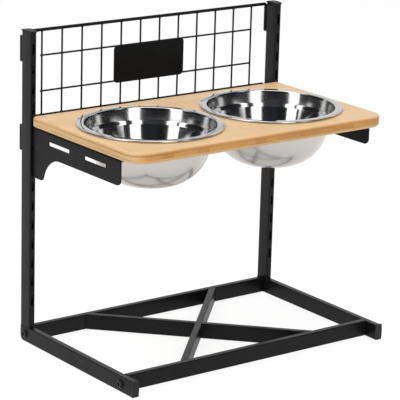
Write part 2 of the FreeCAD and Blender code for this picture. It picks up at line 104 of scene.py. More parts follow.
class Rounding(Enum):
    """What is rounded: a plate's edges or an outline's corners."""

    EDGES = "EDGES"
    CORNERS = "VERTICES"


class Wiring:
    """Adds nodes to one node tree and links them."""

    def __init__(self, tree: NodeTree) -> None:
        """Start with an empty tree.

        Args:
            tree: The node tree to fill.
        """
        self.tree = tree
        tree.nodes.clear()

    def add(self, kind: str, settings: dict | None = None, **inputs: object) -> Node:
        """Add one node.

        Args:
            kind: The node's type name.
            settings: Properties of the node itself.
            inputs: Values or sockets for its inputs, with _ for a space in the input's name.

        Returns:
            The new node.
        """
        node = self.tree.nodes.new(kind)
        for name, value in (settings or {}).items():
            setattr(node, name, value)
        for name, value in inputs.items():
            self.feed(node.inputs[name.replace("_", " ")], value)
        return node

    def feed(self, socket: NodeSocket, value: object) -> None:
        """Link a socket to an input, or set the input's own value.

        Args:
            socket: The input.
            value: The socket to link, or the value to set.
        """
        if isinstance(value, NodeSocket):
            self.tree.links.new(value, socket)
        else:
            socket.default_value = value

    def math(self, operation: str, *values: object) -> NodeSocket:
        """Combine numbers.

        Args:
            operation: The Math node's operation.
            values: One to three numbers or sockets.

        Returns:
            The result's socket.
        """
        node = self.add("ShaderNodeMath", {"operation": operation})
        for socket, value in zip(node.inputs, values):
            self.feed(socket, value)
        return node.outputs[0]

    def mix(self, share: object, first: object, second: object) -> NodeSocket:
        """Mix two colours.

        Args:
            share: How much of the second colour shows.
            first: The first colour.
            second: The second colour.

        Returns:
            The mixed colour's socket.
        """
        node = self.add("ShaderNodeMix", {"data_type": "RGBA"})
        # The colours' sockets come after those for numbers and vectors
        self.feed(node.inputs[0], share)
        self.feed(node.inputs[6], first)
        self.feed(node.inputs[7], second)
        return node.outputs[2]

    def blend(self, share: object, first: object, second: object) -> NodeSocket:
        """Mix two numbers.

        Args:
            share: How much of the second number counts.
            first: The first number.
            second: The second number.

        Returns:
            The mixed number's socket.
        """
        node = self.add("ShaderNodeMix", {"data_type": "FLOAT"})
        self.feed(node.inputs[0], share)
        self.feed(node.inputs[2], first)
        self.feed(node.inputs[3], second)
        return node.outputs[0]

    def spread(
            self, value: object, low: object, high: object, new_low: object, new_high: object) -> NodeSocket:
        """Map a number from one range to another, held inside the new range.

        Args:
            value: The number.
            low: The start of its range.
            high: The end of its range.
            new_low: What the start becomes.
            new_high: What the end becomes.

        Returns:
            The mapped number's socket.
        """
        node = self.add("ShaderNodeMapRange", {"clamp": True})
        for socket, number in zip(node.inputs, (value, low, high, new_low, new_high)):
            self.feed(socket, number)
        return node.outputs[0]


def rgba(colour: Colour) -> tuple[float, float, float, float]:
    """An opaque colour with its alpha."""
    return (*colour, 1.0)


@dataclass(frozen=True)
class EffectGroup:
    """A shader node group that several finishes share."""

    name: str
    inputs: tuple[tuple[str, float], ...]
    output: str

    def tree(self) -> NodeTree:
        """Find the group's node tree, or build it the first time that it is asked for.

        Returns:
            The node tree.
        """
        found = bpy.data.node_groups.get(self.name)
        if found:
            return found
        tree = bpy.data.node_groups.new(self.name, "ShaderNodeTree")
        for name, value in self.inputs:
            socket = tree.interface.new_socket(name, in_out="INPUT", socket_type="NodeSocketFloat")
            socket.default_value = value
        tree.interface.new_socket(self.output, in_out="OUTPUT", socket_type="NodeSocketFloat")
        wiring = Wiring(tree)
        entry = wiring.add("NodeGroupInput")
        result = self.wire(wiring, entry)
        leave = wiring.add("NodeGroupOutput")
        wiring.feed(leave.inputs[0], result)
        return tree

    def wire(self, wiring: Wiring, entry: Node) -> NodeSocket:
        """Build the inside of the group and return what it puts out."""
        raise NotImplementedError

    def place(self, wiring: Wiring, **values: float) -> NodeSocket:
        """Place the group in a material.

        Args:
            wiring: The material's wiring.
            values: The group's inputs in this material, with _ for a space.

        Returns:
            The group's output socket.
        """
        node = wiring.add("ShaderNodeGroup", {"node_tree": self.tree()})
        for name, value in values.items():
            wiring.feed(node.inputs[name.replace("_", " ")], value)
        return node.outputs[0]


class Mottle(EffectGroup):
    """Slow, cloudy variation between two values."""

    noise_range: ClassVar[Range] = (0.32, 0.68)

    def wire(self, wiring: Wiring, entry: Node) -> NodeSocket:
        """Cloudy noise on object coordinates, spread between the two values.

        Args:
            wiring: The group's wiring.
            entry: The node that brings in the group's inputs.

        Returns:
            The value.
        """
        place = wiring.add("ShaderNodeTexCoord").outputs["Object"]
        noise = wiring.add(
            "ShaderNodeTexNoise", Vector=place, Scale=entry.outputs["Scale"], Detail=3.0, Roughness=0.55)
        return wiring.spread(
            noise.outputs[0], *self.noise_range, entry.outputs["Low"], entry.outputs["High"])


class Pebble(EffectGroup):
    """The fine pebbled skin of a powder coat or of moulded plastic."""

    noise_finer: ClassVar[float] = 2.3

    def wire(self, wiring: Wiring, entry: Node) -> NodeSocket:
        """Rounded cells under a little noise, as a height from 0 to 1.

        Args:
            wiring: The group's wiring.
            entry: The node that brings in the group's inputs.

        Returns:
            The height.
        """
        place = wiring.add("ShaderNodeTexCoord").outputs["Object"]
        cells = wiring.add(
            "ShaderNodeTexVoronoi", {"feature": "SMOOTH_F1"}, Vector=place, Scale=entry.outputs["Scale"])
        finer = wiring.math("MULTIPLY", entry.outputs["Scale"], self.noise_finer)
        noise = wiring.add("ShaderNodeTexNoise", Vector=place, Scale=finer, Detail=2.0)
        rough = wiring.math("MULTIPLY", noise.outputs[0], entry.outputs["Roughen"])
        return wiring.math("ADD", cells.outputs["Distance"], rough)


class EdgeWearAndSheen(EffectGroup):
    """A mask of the edges, where a finish is worn thinner and a painted highlight lightens it."""

    edge_range: ClassVar[Range] = (0.985, 0.8)
    noise_range: ClassVar[Range] = (0.4, 0.62)
    worn_range: ClassVar[Range] = (0.15, 1.0)

    def wire(self, wiring: Wiring, entry: Node) -> NodeSocket:
        """How far a rounded normal leaves the true one, broken up a little.

        Args:
            wiring: The group's wiring.
            entry: The node that brings in the group's inputs.

        Returns:
            The mask.
        """
        rounded = wiring.add("ShaderNodeBevel", {"samples": 6}, Radius=entry.outputs["Width"])
        true = wiring.add("ShaderNodeNewGeometry").outputs["Normal"]
        dot = wiring.add("ShaderNodeVectorMath", {"operation": "DOT_PRODUCT"})
        wiring.feed(dot.inputs[0], rounded.outputs[0])
        wiring.feed(dot.inputs[1], true)
        edge = wiring.spread(dot.outputs["Value"], *self.edge_range, 0.0, 1.0)
        place = wiring.add("ShaderNodeTexCoord").outputs["Object"]
        patches = wiring.add(
            "ShaderNodeTexNoise", Vector=place, Scale=entry.outputs["Patches"], Detail=4.0)
        worn = wiring.spread(patches.outputs[0], *self.noise_range, *self.worn_range)
        # The mask marks edges for a lighter colour: partly wear, partly a painted highlight.
        return wiring.math("MULTIPLY", edge, worn)


MOTTLE = Mottle("mottle", (("Scale", 20.0), ("Low", 0.0), ("High", 1.0)), "Value")
PEBBLE = Pebble("pebble", (("Scale", 900.0), ("Roughen", 0.4)), "Height")
EDGE_WEAR_AND_SHEEN = EdgeWearAndSheen("edge_wear_and_sheen", (("Width", 0.6 * MM), ("Patches", 60.0)), "Mask")


@dataclass(frozen=True)
class Cloud:
    """The settings of one cloudy variation."""

    scale: float
    low: float
    high: float

    def place(self, wiring: Wiring) -> NodeSocket:
        """Place the variation in a material."""
        return MOTTLE.place(wiring, Scale=self.scale, Low=self.low, High=self.high)


def start_material(name: str) -> tuple[Material, Wiring, Node]:
    """Start a material with no shader.

    Args:
        name: The material's name.

    Returns:
        The material, its wiring and its output node.
    """
    material = bpy.data.materials.new(name)
    material.use_nodes = True
    wiring = Wiring(material.node_tree)
    return material, wiring, wiring.add("ShaderNodeOutputMaterial")


def new_material(name: str) -> tuple[Material, Wiring, Node]:
    """Start a material with one Principled BSDF.

    Args:
        name: The material's name.

    Returns:
        The material, its wiring and its Principled BSDF.
    """
    material, wiring, end = start_material(name)
    shader = wiring.add("ShaderNodeBsdfPrincipled")
    wiring.feed(end.inputs["Surface"], shader.outputs[0])
    return material, wiring, shader


def add_bump(wiring: Wiring, shader: Node, height: NodeSocket, depth: float) -> None:
    """Feed a height into the shader's normal.

    Args:
        wiring: The material's wiring.
        shader: The Principled BSDF.
        height: The height, from 0 to 1.
        depth: How deep a height of 1 is.
    """
    bump = wiring.add("ShaderNodeBump", Strength=1.0, Distance=depth, Height=height)
    wiring.feed(shader.inputs["Normal"], bump.outputs[0])


@dataclass(frozen=True)
class BlackFinish:
    """A black coat: powder coat on steel, moulded plastic or black oxide."""

    name: str
    colour: Colour
    pale: Colour
    # The lighter colour of the edges: partly wear, partly a painted highlight.
    edge: Colour
    roughness: Range
    gloss: float
    pebble_scale: float
    pebble_depth: float
    edge_width: float
    pebble_noise: float = 0.35
    dust_scale: float = 14.0
    patch_scale: float = 55.0
    shine_scale: float = 38.0

    def build(self) -> Material:
        """Make the material.

        Returns:
            The material.
        """
        material, wiring, shader = new_material(self.name)
        dust = MOTTLE.place(wiring, Scale=self.dust_scale, Low=0.0, High=1.0)
        coat = wiring.mix(dust, rgba(self.colour), rgba(self.pale))
        # The edges get the lighter edge colour: partly wear, partly a painted highlight.
        worn_sheen = EDGE_WEAR_AND_SHEEN.place(wiring, Width=self.edge_width, Patches=self.patch_scale)
        wiring.feed(shader.inputs["Base Color"], wiring.mix(worn_sheen, coat, rgba(self.edge)))
        dull, duller = self.roughness
        shine = MOTTLE.place(wiring, Scale=self.shine_scale, Low=dull, High=duller)
        wiring.feed(shader.inputs["Roughness"], shine)
        shader.inputs["Specular IOR Level"].default_value = self.gloss
        pebbles = PEBBLE.place(wiring, Scale=self.pebble_scale, Roughen=self.pebble_noise)
        add_bump(wiring, shader, pebbles, self.pebble_depth)
        return material


POWDER_COAT = BlackFinish(
    name="powder_coat",
    colour=(0.005, 0.005, 0.0051),
    pale=(0.008, 0.008, 0.0082),
    edge=(0.016, 0.016, 0.0164),
    roughness=(0.3, 0.4),
    gloss=0.22,
    pebble_scale=850.0,
    pebble_depth=0.06 * MM,
    edge_width=0.5 * MM)
SHEET_COAT = replace(POWDER_COAT, name="sheet_coat", gloss=0.13)
CAP_PLASTIC = BlackFinish(
    name="cap_plastic",
    colour=(0.011, 0.011, 0.011),
    pale=(0.016, 0.016, 0.016),
    edge=(0.03, 0.03, 0.03),
    roughness=(0.42, 0.54),
    gloss=0.21,
    pebble_scale=1400.0,
    pebble_depth=0.05 * MM,
    edge_width=0.6 * MM)
# The same plastic as the caps, painted lighter so that the plugs' end faces, which face the dark side of the
# studio, look brighter: painted light.
PLUG_PLASTIC_PAINTED_LIGHT = replace(
    CAP_PLASTIC,
    name="plug_plastic_painted_light",
    colour=(0.026, 0.026, 0.026),
    pale=(0.032, 0.032, 0.032),
    edge=(0.05, 0.05, 0.05))
BLACK_OXIDE = BlackFinish(
    name="black_oxide",
    colour=(0.0015, 0.0015, 0.0016),
    pale=(0.003, 0.003, 0.003),
    edge=(0.008, 0.008, 0.008),
    roughness=(0.12, 0.18),
    gloss=0.3,
    pebble_scale=2200.0,
    pebble_depth=0.006 * MM,
    edge_width=0.4 * MM)


@dataclass(frozen=True)
class SpunSteel:
    """Steel with fine rings around one upright axis, as left by spinning and polishing."""

    name: str
    colour: Colour
    stain: Colour
    roughness: Range
    ring_scale: float
    ring_depth: float
    smudge: float
    brushed: float = 0.0
    band_blur: float = 1.0 * MM
    height_share: float = 0.7
    noise_range: Range = (0.35, 0.65)
    streak_range: Range = (-0.02, 0.02)
    stain_scale: float = 16.0
    cloud_scale: float = 30.0

    def build(self, axis: Vector, brushed_from: float = 0.0, brushed_to: float = 0.0) -> Material:
        """Make the material.

        Args:
            axis: A place on the upright axis of the rings.
            brushed_from: The height at which the brushed band starts.
            brushed_to: The height at which it ends.

        Returns:
            The material.
        """
        material, wiring, shader = new_material(self.name)
        place = wiring.add("ShaderNodeTexCoord").outputs["Object"]
        centred = wiring.add("ShaderNodeMapping", Vector=place, Location=(-axis.x, -axis.y, 0.0))
        apart = wiring.add("ShaderNodeSeparateXYZ", Vector=centred.outputs[0])
        squares = [wiring.math("MULTIPLY", apart.outputs[i], apart.outputs[i]) for i in range(2)]
        radius = wiring.math("SQRT", wiring.math("ADD", *squares))
        height = apart.outputs[2]
        along = wiring.math("ADD", radius, wiring.math("MULTIPLY", height, self.height_share))
        rings = wiring.add(
            "ShaderNodeTexNoise", {"noise_dimensions": "1D"}, W=along, Scale=self.ring_scale, Detail=3.0)
        stain = MOTTLE.place(wiring, Scale=self.stain_scale, Low=0.0, High=self.smudge)
        wiring.feed(shader.inputs["Base Color"], wiring.mix(stain, rgba(self.colour), rgba(self.stain)))
        bright, dull = self.roughness
        cloud = MOTTLE.place(wiring, Scale=self.cloud_scale, Low=bright, High=dull)
        streak = wiring.spread(rings.outputs[0], *self.noise_range, *self.streak_range)
        blur = self.band_blur
        start = wiring.spread(height, brushed_from - blur, brushed_from + blur, 0.0, self.brushed)
        stop = wiring.spread(height, brushed_to - blur, brushed_to + blur, 1.0, 0.0)
        polish = wiring.math("ADD", cloud, wiring.math("MULTIPLY", start, stop))
        wiring.feed(shader.inputs["Roughness"], wiring.math("ADD", polish, streak))
        shader.inputs["Metallic"].default_value = 1.0
        add_bump(wiring, shader, rings.outputs[0], self.ring_depth)
        return material


BOWL_INSIDE = SpunSteel(
    name="bowl_polish",
    colour=(0.54, 0.535, 0.53),
    stain=(0.46, 0.455, 0.45),
    roughness=(0.08, 0.12),
    ring_scale=900.0,
    ring_depth=0.004 * MM,
    smudge=0.2,
    brushed=0.045)
BOWL_OUTSIDE = SpunSteel(
    name="bowl_satin",
    colour=(0.66, 0.625, 0.6),
    stain=(0.59, 0.555, 0.53),
    roughness=(0.2, 0.26),
    ring_scale=500.0,
    ring_depth=0.001 * MM,
    smudge=0.25)
ZINC = SpunSteel(
    name="zinc_plate",
    colour=(0.62, 0.62, 0.64),
    stain=(0.5, 0.5, 0.52),
    roughness=(0.28, 0.4),
    ring_scale=1500.0,
    ring_depth=0.01 * MM,
    smudge=0.5)


@dataclass(frozen=True)
class WoodTone:
    """The pale and the deep colour between which wood varies on one side of a board."""

    pale: Colour
    deep: Colour


@dataclass(frozen=True)
class Bamboo:
    """Three plies of laminated bamboo under clear lacquer, darker on the sawn edges: partly the bamboo's own
    tone, partly painted shade.
    """

    name: str = "bamboo"
    # The top is lighter and the sawn edges darker, partly the bamboo's own tone and partly painted shade; the
    # front edge is darker than the side edges.
    face: WoodTone = WoodTone((0.85, 0.585, 0.32), (0.75, 0.465, 0.21))
    front: WoodTone = WoodTone((0.66, 0.36, 0.12), (0.54, 0.26, 0.07))
    front_low: WoodTone = WoodTone((0.74, 0.47, 0.21), (0.66, 0.38, 0.14))
    side: WoodTone = WoodTone((0.74, 0.49, 0.25), (0.66, 0.41, 0.18))
    dark: Colour = (0.36, 0.165, 0.045)
    gloss: float = 0.3
    shine: Cloud = Cloud(22.0, 0.34, 0.46)
    edge_facing: Range = (0.35, 0.85)
    side_facing: Range = (0.35, 0.8)
    ply_share: float = 0.3
    ply_blur: float = 0.4 * MM
    core_blur: float = 0.2 * MM
    strip_width: float = 20.5 * MM
    block_width: float = 20.5 * MM
    block_seed: float = 71.0
    block_power: float = 3.0
    block_share: float = 0.9
    strip_warmth: float = 0.3
    streak_warmth: float = 0.45
    core_warmth: float = 0.12
    streak_range: Range = (0.38, 0.66)
    fibre_scale: float = 3.0
    face_stretch: Triple = (4.0, 150.0, 150.0)
    core_stretch: Triple = (150.0, 4.0, 260.0)
    line_core: float = 0.3
    face_seam_width: float = 0.6 * MM
    face_seam_share: float = 0.1
    core_seam_width: float = 0.7 * MM
    core_seam_share: float = 0.12
    knot_spacing: float = 240.0 * MM
    knot_width: float = 3.5 * MM
    knot_shift: float = 3.7
    knot_share: float = 0.16
    glue_width: float = 1.2 * MM
    upper_glue: Cloud = Cloud(8.0, 0.1, 0.95)
    lower_glue: Cloud = Cloud(13.0, -0.2, 0.6)
    edge_stain: Cloud = Cloud(9.0, -0.4, 0.5)
    line_sink: float = 0.6
    grain_depth: float = 0.05 * MM

    def strip_tone(self, wiring: Wiring, along: object, width: float, seed: float) -> NodeSocket:
        """A random tone for each strip.

        Args:
            wiring: The material's wiring.
            along: The coordinate across the strips.
            width: The strips' width.
            seed: A number that tells one ply from another.

        Returns:
            A number from 0 to 1 that is the same all over a strip.
        """
        cell = wiring.math("FLOOR", wiring.math("DIVIDE", along, width))
        numbered = wiring.math("ADD", cell, seed)
        pick = wiring.add("ShaderNodeTexWhiteNoise", {"noise_dimensions": "1D"}, W=numbered)
        return pick.outputs["Value"]

    def seam(self, wiring: Wiring, along: object, width: float, line: float) -> NodeSocket:
        """A mask of the fine lines between strips.

        Args:
            wiring: The material's wiring.
            along: The coordinate across the strips.
            width: The strips' width.
            line: The line's width.

        Returns:
            A number that is 1 on a line.
        """
        share = wiring.math("FRACT", wiring.math("DIVIDE", along, width))
        off = wiring.math("ABSOLUTE", wiring.math("SUBTRACT", share, 0.5))
        reach = line / width
        return wiring.spread(off, 0.5 - reach, 0.5 - self.line_core * reach, 0.0, 1.0)

    def fibres(self, wiring: Wiring, place: object, stretch: Triple) -> NodeSocket:
        """Long thin streaks.

        Args:
            wiring: The material's wiring.
            place: The coordinates.
            stretch: How much each direction is squeezed.

        Returns:
            The streaks, about 0.5 in the middle.
        """
        drawn = wiring.add("ShaderNodeMapping", Vector=place, Scale=stretch).outputs[0]
        noise = wiring.add(
            "ShaderNodeTexNoise", Vector=drawn, Scale=self.fibre_scale, Detail=6.0, Roughness=0.62)
        return noise.outputs[0]

    def knots(self, wiring: Wiring, along: object, tone: object) -> NodeSocket:
        """A mask of the bamboo's own joints, which cross each strip at different places."""
        shift = wiring.math("MULTIPLY", tone, self.knot_shift * self.knot_spacing)
        return self.seam(wiring, wiring.math("ADD", along, shift), self.knot_spacing, self.knot_width)

    def tones(self, wiring: Wiring, from_low: object, ply: float) -> list[NodeSocket]:
        """The pale and the deep colour, chosen by the way the surface faces: lighter on top and darker on the
        edges, partly as painted shade.

        Args:
            wiring: The material's wiring.
            from_low: The height above the board's underside.
            ply: The thickness of an outer ply.

        Returns:
            The two colours' sockets, and a mask of the sawn edges.
        """
        normal = wiring.add("ShaderNodeTexCoord").outputs["Normal"]
        facing = wiring.add("ShaderNodeSeparateXYZ", Vector=normal)
        across, _, up = [wiring.math("ABSOLUTE", socket) for socket in facing.outputs]
        edge = wiring.spread(up, *self.edge_facing, 1.0, 0.0)
        side = wiring.spread(across, *self.side_facing, 0.0, 1.0)
        lower = wiring.spread(from_low, ply - self.ply_blur, ply + self.ply_blur, 1.0, 0.0)
        chosen = []
        for name in ("pale", "deep"):
            face, front, front_low, end = (
                rgba(getattr(tone, name)) for tone in (self.face, self.front, self.front_low, self.side))
            # The sawn edges get the darker tones: partly the bamboo's own tone, partly painted shade.
            sawn = wiring.mix(side, wiring.mix(lower, front, front_low), end)
            chosen.append(wiring.mix(edge, face, sawn))
        return chosen + [edge]

    def build(self, low: Vector, high: Vector) -> Material:
        """Make the material.

        Args:
            low: The board's lowest corner.
            high: The board's highest corner.

        Returns:
            The material.
        """
        material, wiring, shader = new_material(self.name)
        place = wiring.add("ShaderNodeTexCoord").outputs["Object"]
        x, y, z = wiring.add("ShaderNodeSeparateXYZ", Vector=place).outputs
        thick = high.z - low.z
        ply = thick * self.ply_share
        from_top = wiring.math("SUBTRACT", high.z, z)
        from_low = wiring.math("SUBTRACT", z, low.z)
        nearest = wiring.math("MINIMUM", from_top, from_low)
        core = wiring.spread(nearest, ply - self.core_blur, ply + self.core_blur, 0.0, 1.0)

        face_tone = self.strip_tone(wiring, y, self.strip_width, 0.0)
        core_tone = self.strip_tone(wiring, x, self.block_width, self.block_seed)
        tone = wiring.blend(core, face_tone, core_tone)
        face_fibre = self.fibres(wiring, place, self.face_stretch)
        core_fibre = self.fibres(wiring, place, self.core_stretch)
        fibre = wiring.blend(core, face_fibre, core_fibre)
        knot = wiring.blend(core, self.knots(wiring, x, face_tone), self.knots(wiring, y, core_tone))

        pale, deep, edge = self.tones(wiring, from_low, ply)
        streak = wiring.spread(fibre, *self.streak_range, 0.0, 1.0)
        warmth = wiring.math("MULTIPLY", tone, self.strip_warmth)
        warmth = wiring.math("MULTIPLY_ADD", streak, self.streak_warmth, warmth)
        warmth = wiring.math("MULTIPLY_ADD", core, self.core_warmth, warmth)
        block = wiring.math("MULTIPLY", core, self.block_share)
        warmth = wiring.math("MULTIPLY_ADD", wiring.math("POWER", tone, self.block_power), block, warmth)
        colour = wiring.mix(warmth, pale, deep)

        face_seam = self.seam(wiring, y, self.strip_width, self.face_seam_width)
        core_seam = self.seam(wiring, x, self.block_width, self.core_seam_width)
        seams = wiring.blend(
            core, wiring.math("MULTIPLY", face_seam, self.face_seam_share),
            wiring.math("MULTIPLY", core_seam, self.core_seam_share))
        glue_off = wiring.math("ABSOLUTE", wiring.math("SUBTRACT", nearest, ply))
        glue = wiring.spread(glue_off, self.glue_width * self.line_core, self.glue_width, 1.0, 0.0)
        upper = wiring.math("GREATER_THAN", from_low, thick / 2.0)
        broken = wiring.blend(upper, self.lower_glue.place(wiring), self.upper_glue.place(wiring))
        stained = wiring.math("MULTIPLY", edge, self.edge_stain.place(wiring))
        lines = seams
        for mask, share in ((glue, broken), (stained, streak), (knot, self.knot_share)):
            lines = wiring.math("MAXIMUM", lines, wiring.math("MULTIPLY", mask, share))
        wiring.feed(shader.inputs["Base Color"], wiring.mix(lines, colour, rgba(self.dark)))
        wiring.feed(shader.inputs["Roughness"], self.shine.place(wiring))
        shader.inputs["Specular IOR Level"].default_value = self.gloss
        relief = wiring.math("SUBTRACT", fibre, wiring.math("MULTIPLY", lines, self.line_sink))
        add_bump(wiring, shader, relief, self.grain_depth)
        return material


BAMBOO = Bamboo()


@dataclass(frozen=True)
class Bend:
    """One corner of a bent sheet's section, in the XZ plane."""

    x: float
    z: float
    radius: float = 0.0
    steps: int = 8

    @property
    def place(self) -> Vector:
        """The corner before it is bent."""
        return Vector((self.x, 0.0, self.z))


class ProfilePen:
    """Draws a line of edges in the XZ plane, from lines and arcs."""

    def __init__(self, mesh: BMesh, start: Vector) -> None:
        """Put the pen down.

        Args:
            mesh: The mesh to draw in.
            start: Where the line starts.
        """
        self.mesh = mesh
        self.tip = bmesh.ops.create_vert(mesh, co=start)["vert"][0]

    def line_to(self, place: Vector) -> None:
        """Draw a straight edge.

        Args:
            place: Where the edge ends.
        """
        made = bmesh.ops.extrude_vert_indiv(self.mesh, verts=[self.tip])
        self.tip = made["verts"][0]
        bmesh.ops.translate(self.mesh, verts=[self.tip], vec=place - self.tip.co)

    def arc(self, centre: Vector, turn: float, steps: int) -> None:
        """Draw an arc.

        Args:
            centre: The arc's centre.
            turn: How far it turns, in radians, from +X towards +Z.
            steps: How many edges it has.
        """
        made = bmesh.ops.spin(
            self.mesh, geom=[self.tip], cent=centre, axis=(0.0, -1.0, 0.0), angle=turn, steps=steps,
            use_duplicate=False)
        self.tip = next(item for item in made["geom_last"] if isinstance(item, BMVert))

    def bent_line(self, corners: list[Bend], offset: float) -> None:
        """Draw a line through bent corners, moved to the left of its course.

        Args:
            corners: The corners, of which the first and the last have no bend.
            offset: How far the line is moved.
        """
        courses = [(there.place - here.place).normalized() for here, there in zip(corners, corners[1:])]
        lefts = [Vector((-course.z, 0.0, course.x)) for course in courses]
        self.line_to(corners[0].place + lefts[0] * offset)
        bends = zip(corners[1:], courses, courses[1:], lefts, lefts[1:])
        for corner, before, after, left, next_left in bends:
            turn = math.atan2(before.x * after.z - before.z * after.x, before.dot(after))
            radius = corner.radius - math.copysign(offset, turn)
            place = corner.place + (left + next_left) * (offset / (1.0 + left.dot(next_left)))
            self.line_to(place - before * (radius * math.tan(abs(turn) / 2.0)))
            self.arc(self.tip.co + left * math.copysign(radius, turn), turn, corner.steps)
        self.line_to(corners[-1].place + lefts[-1] * offset)


def spin_closed(mesh: BMesh, steps: int) -> None:
    """Turn a profile about the Z axis into a closed skin.

    Args:
        mesh: The mesh that holds the profile.
        steps: How many steps the full turn has.
    """
    bmesh.ops.spin(
        mesh, geom=mesh.verts[:] + mesh.edges[:], cent=ORIGIN, axis=UP, angle=math.tau, steps=steps,
        use_merge=True, use_duplicate=False)
    bmesh.ops.remove_doubles(mesh, verts=mesh.verts[:], dist=SAME_PLACE)
    bmesh.ops.recalc_face_normals(mesh, faces=mesh.faces[:])


def flat_sheet(mesh: BMesh, width: float, depth: float) -> None:
    """Start a mesh as a flat rectangle round the origin.

    Args:
        mesh: The empty mesh.
        width: The rectangle's size along X.
        depth: Its size along Y.
    """
    bmesh.ops.create_grid(mesh, x_segments=1, y_segments=1, size=0.5)
    bmesh.ops.scale(mesh, vec=(width, depth, 1.0), verts=mesh.verts[:])


def thicken(mesh: BMesh, height: float) -> list[BMEdge]:
    """Raise a flat outline into a closed plate.

    Args:
        mesh: The mesh that holds the filled outline.
        height: The plate's thickness.

    Returns:
        The plate's sharp rims.
    """
    raised = bmesh.ops.extrude_face_region(mesh, geom=mesh.faces[:])
    tops = [item for item in raised["geom"] if isinstance(item, BMVert)]
    bmesh.ops.translate(mesh, verts=tops, vec=UP * height)
    bmesh.ops.recalc_face_normals(mesh, faces=mesh.faces[:])
    return [edge for edge in mesh.edges if edge.is_manifold and edge.calc_face_angle() > SHARP_TURN]


def round_off(mesh: BMesh, geometry: list, radius: float, steps: int, kind: Rounding) -> None:
    """Round edges, or the corners of a flat outline.

    Args:
        mesh: The mesh.
        geometry: The edges or corners.
        radius: The radius.
        steps: How many steps the round has.
        kind: Whether these are edges or corners.
    """
    bmesh.ops.bevel(
        mesh, geom=geometry, offset=radius, offset_type="OFFSET", affect=kind.value, segments=steps,
        profile=0.5, material=-1)


def link_object(name: str, data: bpy.types.ID) -> Object:
    """Put new data into the scene as an object.

    Args:
        name: The object's name.
        data: Its mesh, camera or light.

    Returns:
        The new object.
    """
    made = bpy.data.objects.new(name, data)
    bpy.context.scene.collection.objects.link(made)
    return made


def mesh_data(mesh: BMesh, name: str) -> bpy.types.Mesh:
    """Write a finished mesh out, and free it.

    Args:
        mesh: The mesh.
        name: The name of its data.

    Returns:
        The mesh data.
    """
    data = bpy.data.meshes.new(name)
    mesh.to_mesh(data)
    mesh.free()
    return data


def finish_piece(mesh: BMesh, name: str, body: str, slot: Slot, *finishes: Material) -> Object:
    """Make an object of a finished mesh and put it on its body.

    Args:
        mesh: The mesh, which is freed.
        name: The piece's name.
        body: The body that it rides on.
        slot: The record's material slot; not used.
        finishes: Its materials, in the order of its faces' indices.

    Returns:
        The new object.
    """
    for face in mesh.faces:
        face.smooth = True
    piece = link_object(name, mesh_data(mesh, name))
    for finish in finishes:
        piece.data.materials.append(finish)
    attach(piece, body)
    LOG.info("%s: %d faces on %s", name, len(piece.data.polygons), body)
    return piece


def even_shading(piece: Object) -> None:
    """Keep a plate's flat faces flat beside its rounded rims."""
    weighted = piece.modifiers.new("even_shading", "WEIGHTED_NORMAL")
    weighted.mode = "FACE_AREA"


def facet_softener() -> NodeTree:
    """Find or build the modifier that joins a solid's triangles and shades its curved faces smooth.

    Returns:
        The modifier's node tree.
    """
    name = "soften_facets"
    found = bpy.data.node_groups.get(name)
    if found:
        return found
    tree = bpy.data.node_groups.new(name, "GeometryNodeTree")
    tree.interface.new_socket("Geometry", in_out="INPUT", socket_type="NodeSocketGeometry")
    tree.interface.new_socket("Geometry", in_out="OUTPUT", socket_type="NodeSocketGeometry")
    wiring = Wiring(tree)
    entry = wiring.add("NodeGroupInput")
    bare = wiring.add("GeometryNodeRemoveAttribute", Geometry=entry.outputs[0], Name="custom_normal")
    joined = wiring.add("GeometryNodeMergeByDistance", Geometry=bare.outputs[0], Distance=SAME_FACET)
    smooth = wiring.add("GeometryNodeSetShadeSmooth", {"domain": "FACE"}, Geometry=joined.outputs[0])
    wiring.feed(smooth.inputs["Shade Smooth"], True)
    angle = wiring.add("GeometryNodeInputMeshEdgeAngle").outputs[0]
    sharp = wiring.add("FunctionNodeCompare", {"data_type": "FLOAT", "operation": "GREATER_THAN"})
    wiring.feed(sharp.inputs[0], angle)
    wiring.feed(sharp.inputs[1], CREASE_TURN)
    creased = wiring.add("GeometryNodeSetShadeSmooth", {"domain": "EDGE"}, Geometry=smooth.outputs[0])
    wiring.feed(creased.inputs["Selection"], sharp.outputs[0])
    wiring.feed(creased.inputs["Shade Smooth"], False)
    leave = wiring.add("NodeGroupOutput")
    wiring.feed(leave.inputs[0], creased.outputs[0])
    return tree


def soften(piece: Object) -> None:
    """Shade a faceted piece smooth between its sharp edges."""
    softener = piece.modifiers.new("soften_facets", "NODES")
    softener.node_group = facet_softener()


def middle_of(node: str) -> Vector:
    """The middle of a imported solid's box."""
    low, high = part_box(node)
    return (low + high) / 2.0


def dress_node(node: str, material: Material) -> None:
    """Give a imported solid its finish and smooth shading.

    Args:
        node: The node's name.
        material: Its material.
    """
    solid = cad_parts[node]
    solid.data.materials.clear()
    solid.data.materials.append(material)
    soften(solid)
    LOG.info("%s: dressed in %s", node, material.name)


def copy_solid(node: str) -> BMesh:
    """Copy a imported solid's mesh, to be reshaped.

    Args:
        node: The solid's node.

    Returns:
        The copy, with its triangles joined.
    """
    mesh = bmesh.new()
    mesh.from_mesh(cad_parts[node].data)
    bmesh.ops.remove_doubles(mesh, verts=mesh.verts[:], dist=SAME_FACET)
    return mesh


def finish_reshaped(mesh: BMesh, name: str, body: str, slot: Slot, finish: Material) -> Object:
    """Make a piece of a reshaped solid.

    Args:
        mesh: The reshaped mesh, which is freed.
        name: The piece's name.
        body: The body that it rides on.
        slot: The record's material slot, passed on and not used.
        finish: Its material.

    Returns:
        The new object.
    """
    bmesh.ops.recalc_face_normals(mesh, faces=mesh.faces[:])
    piece = finish_piece(mesh, name, body, slot, finish)
    soften(piece)
    return piece


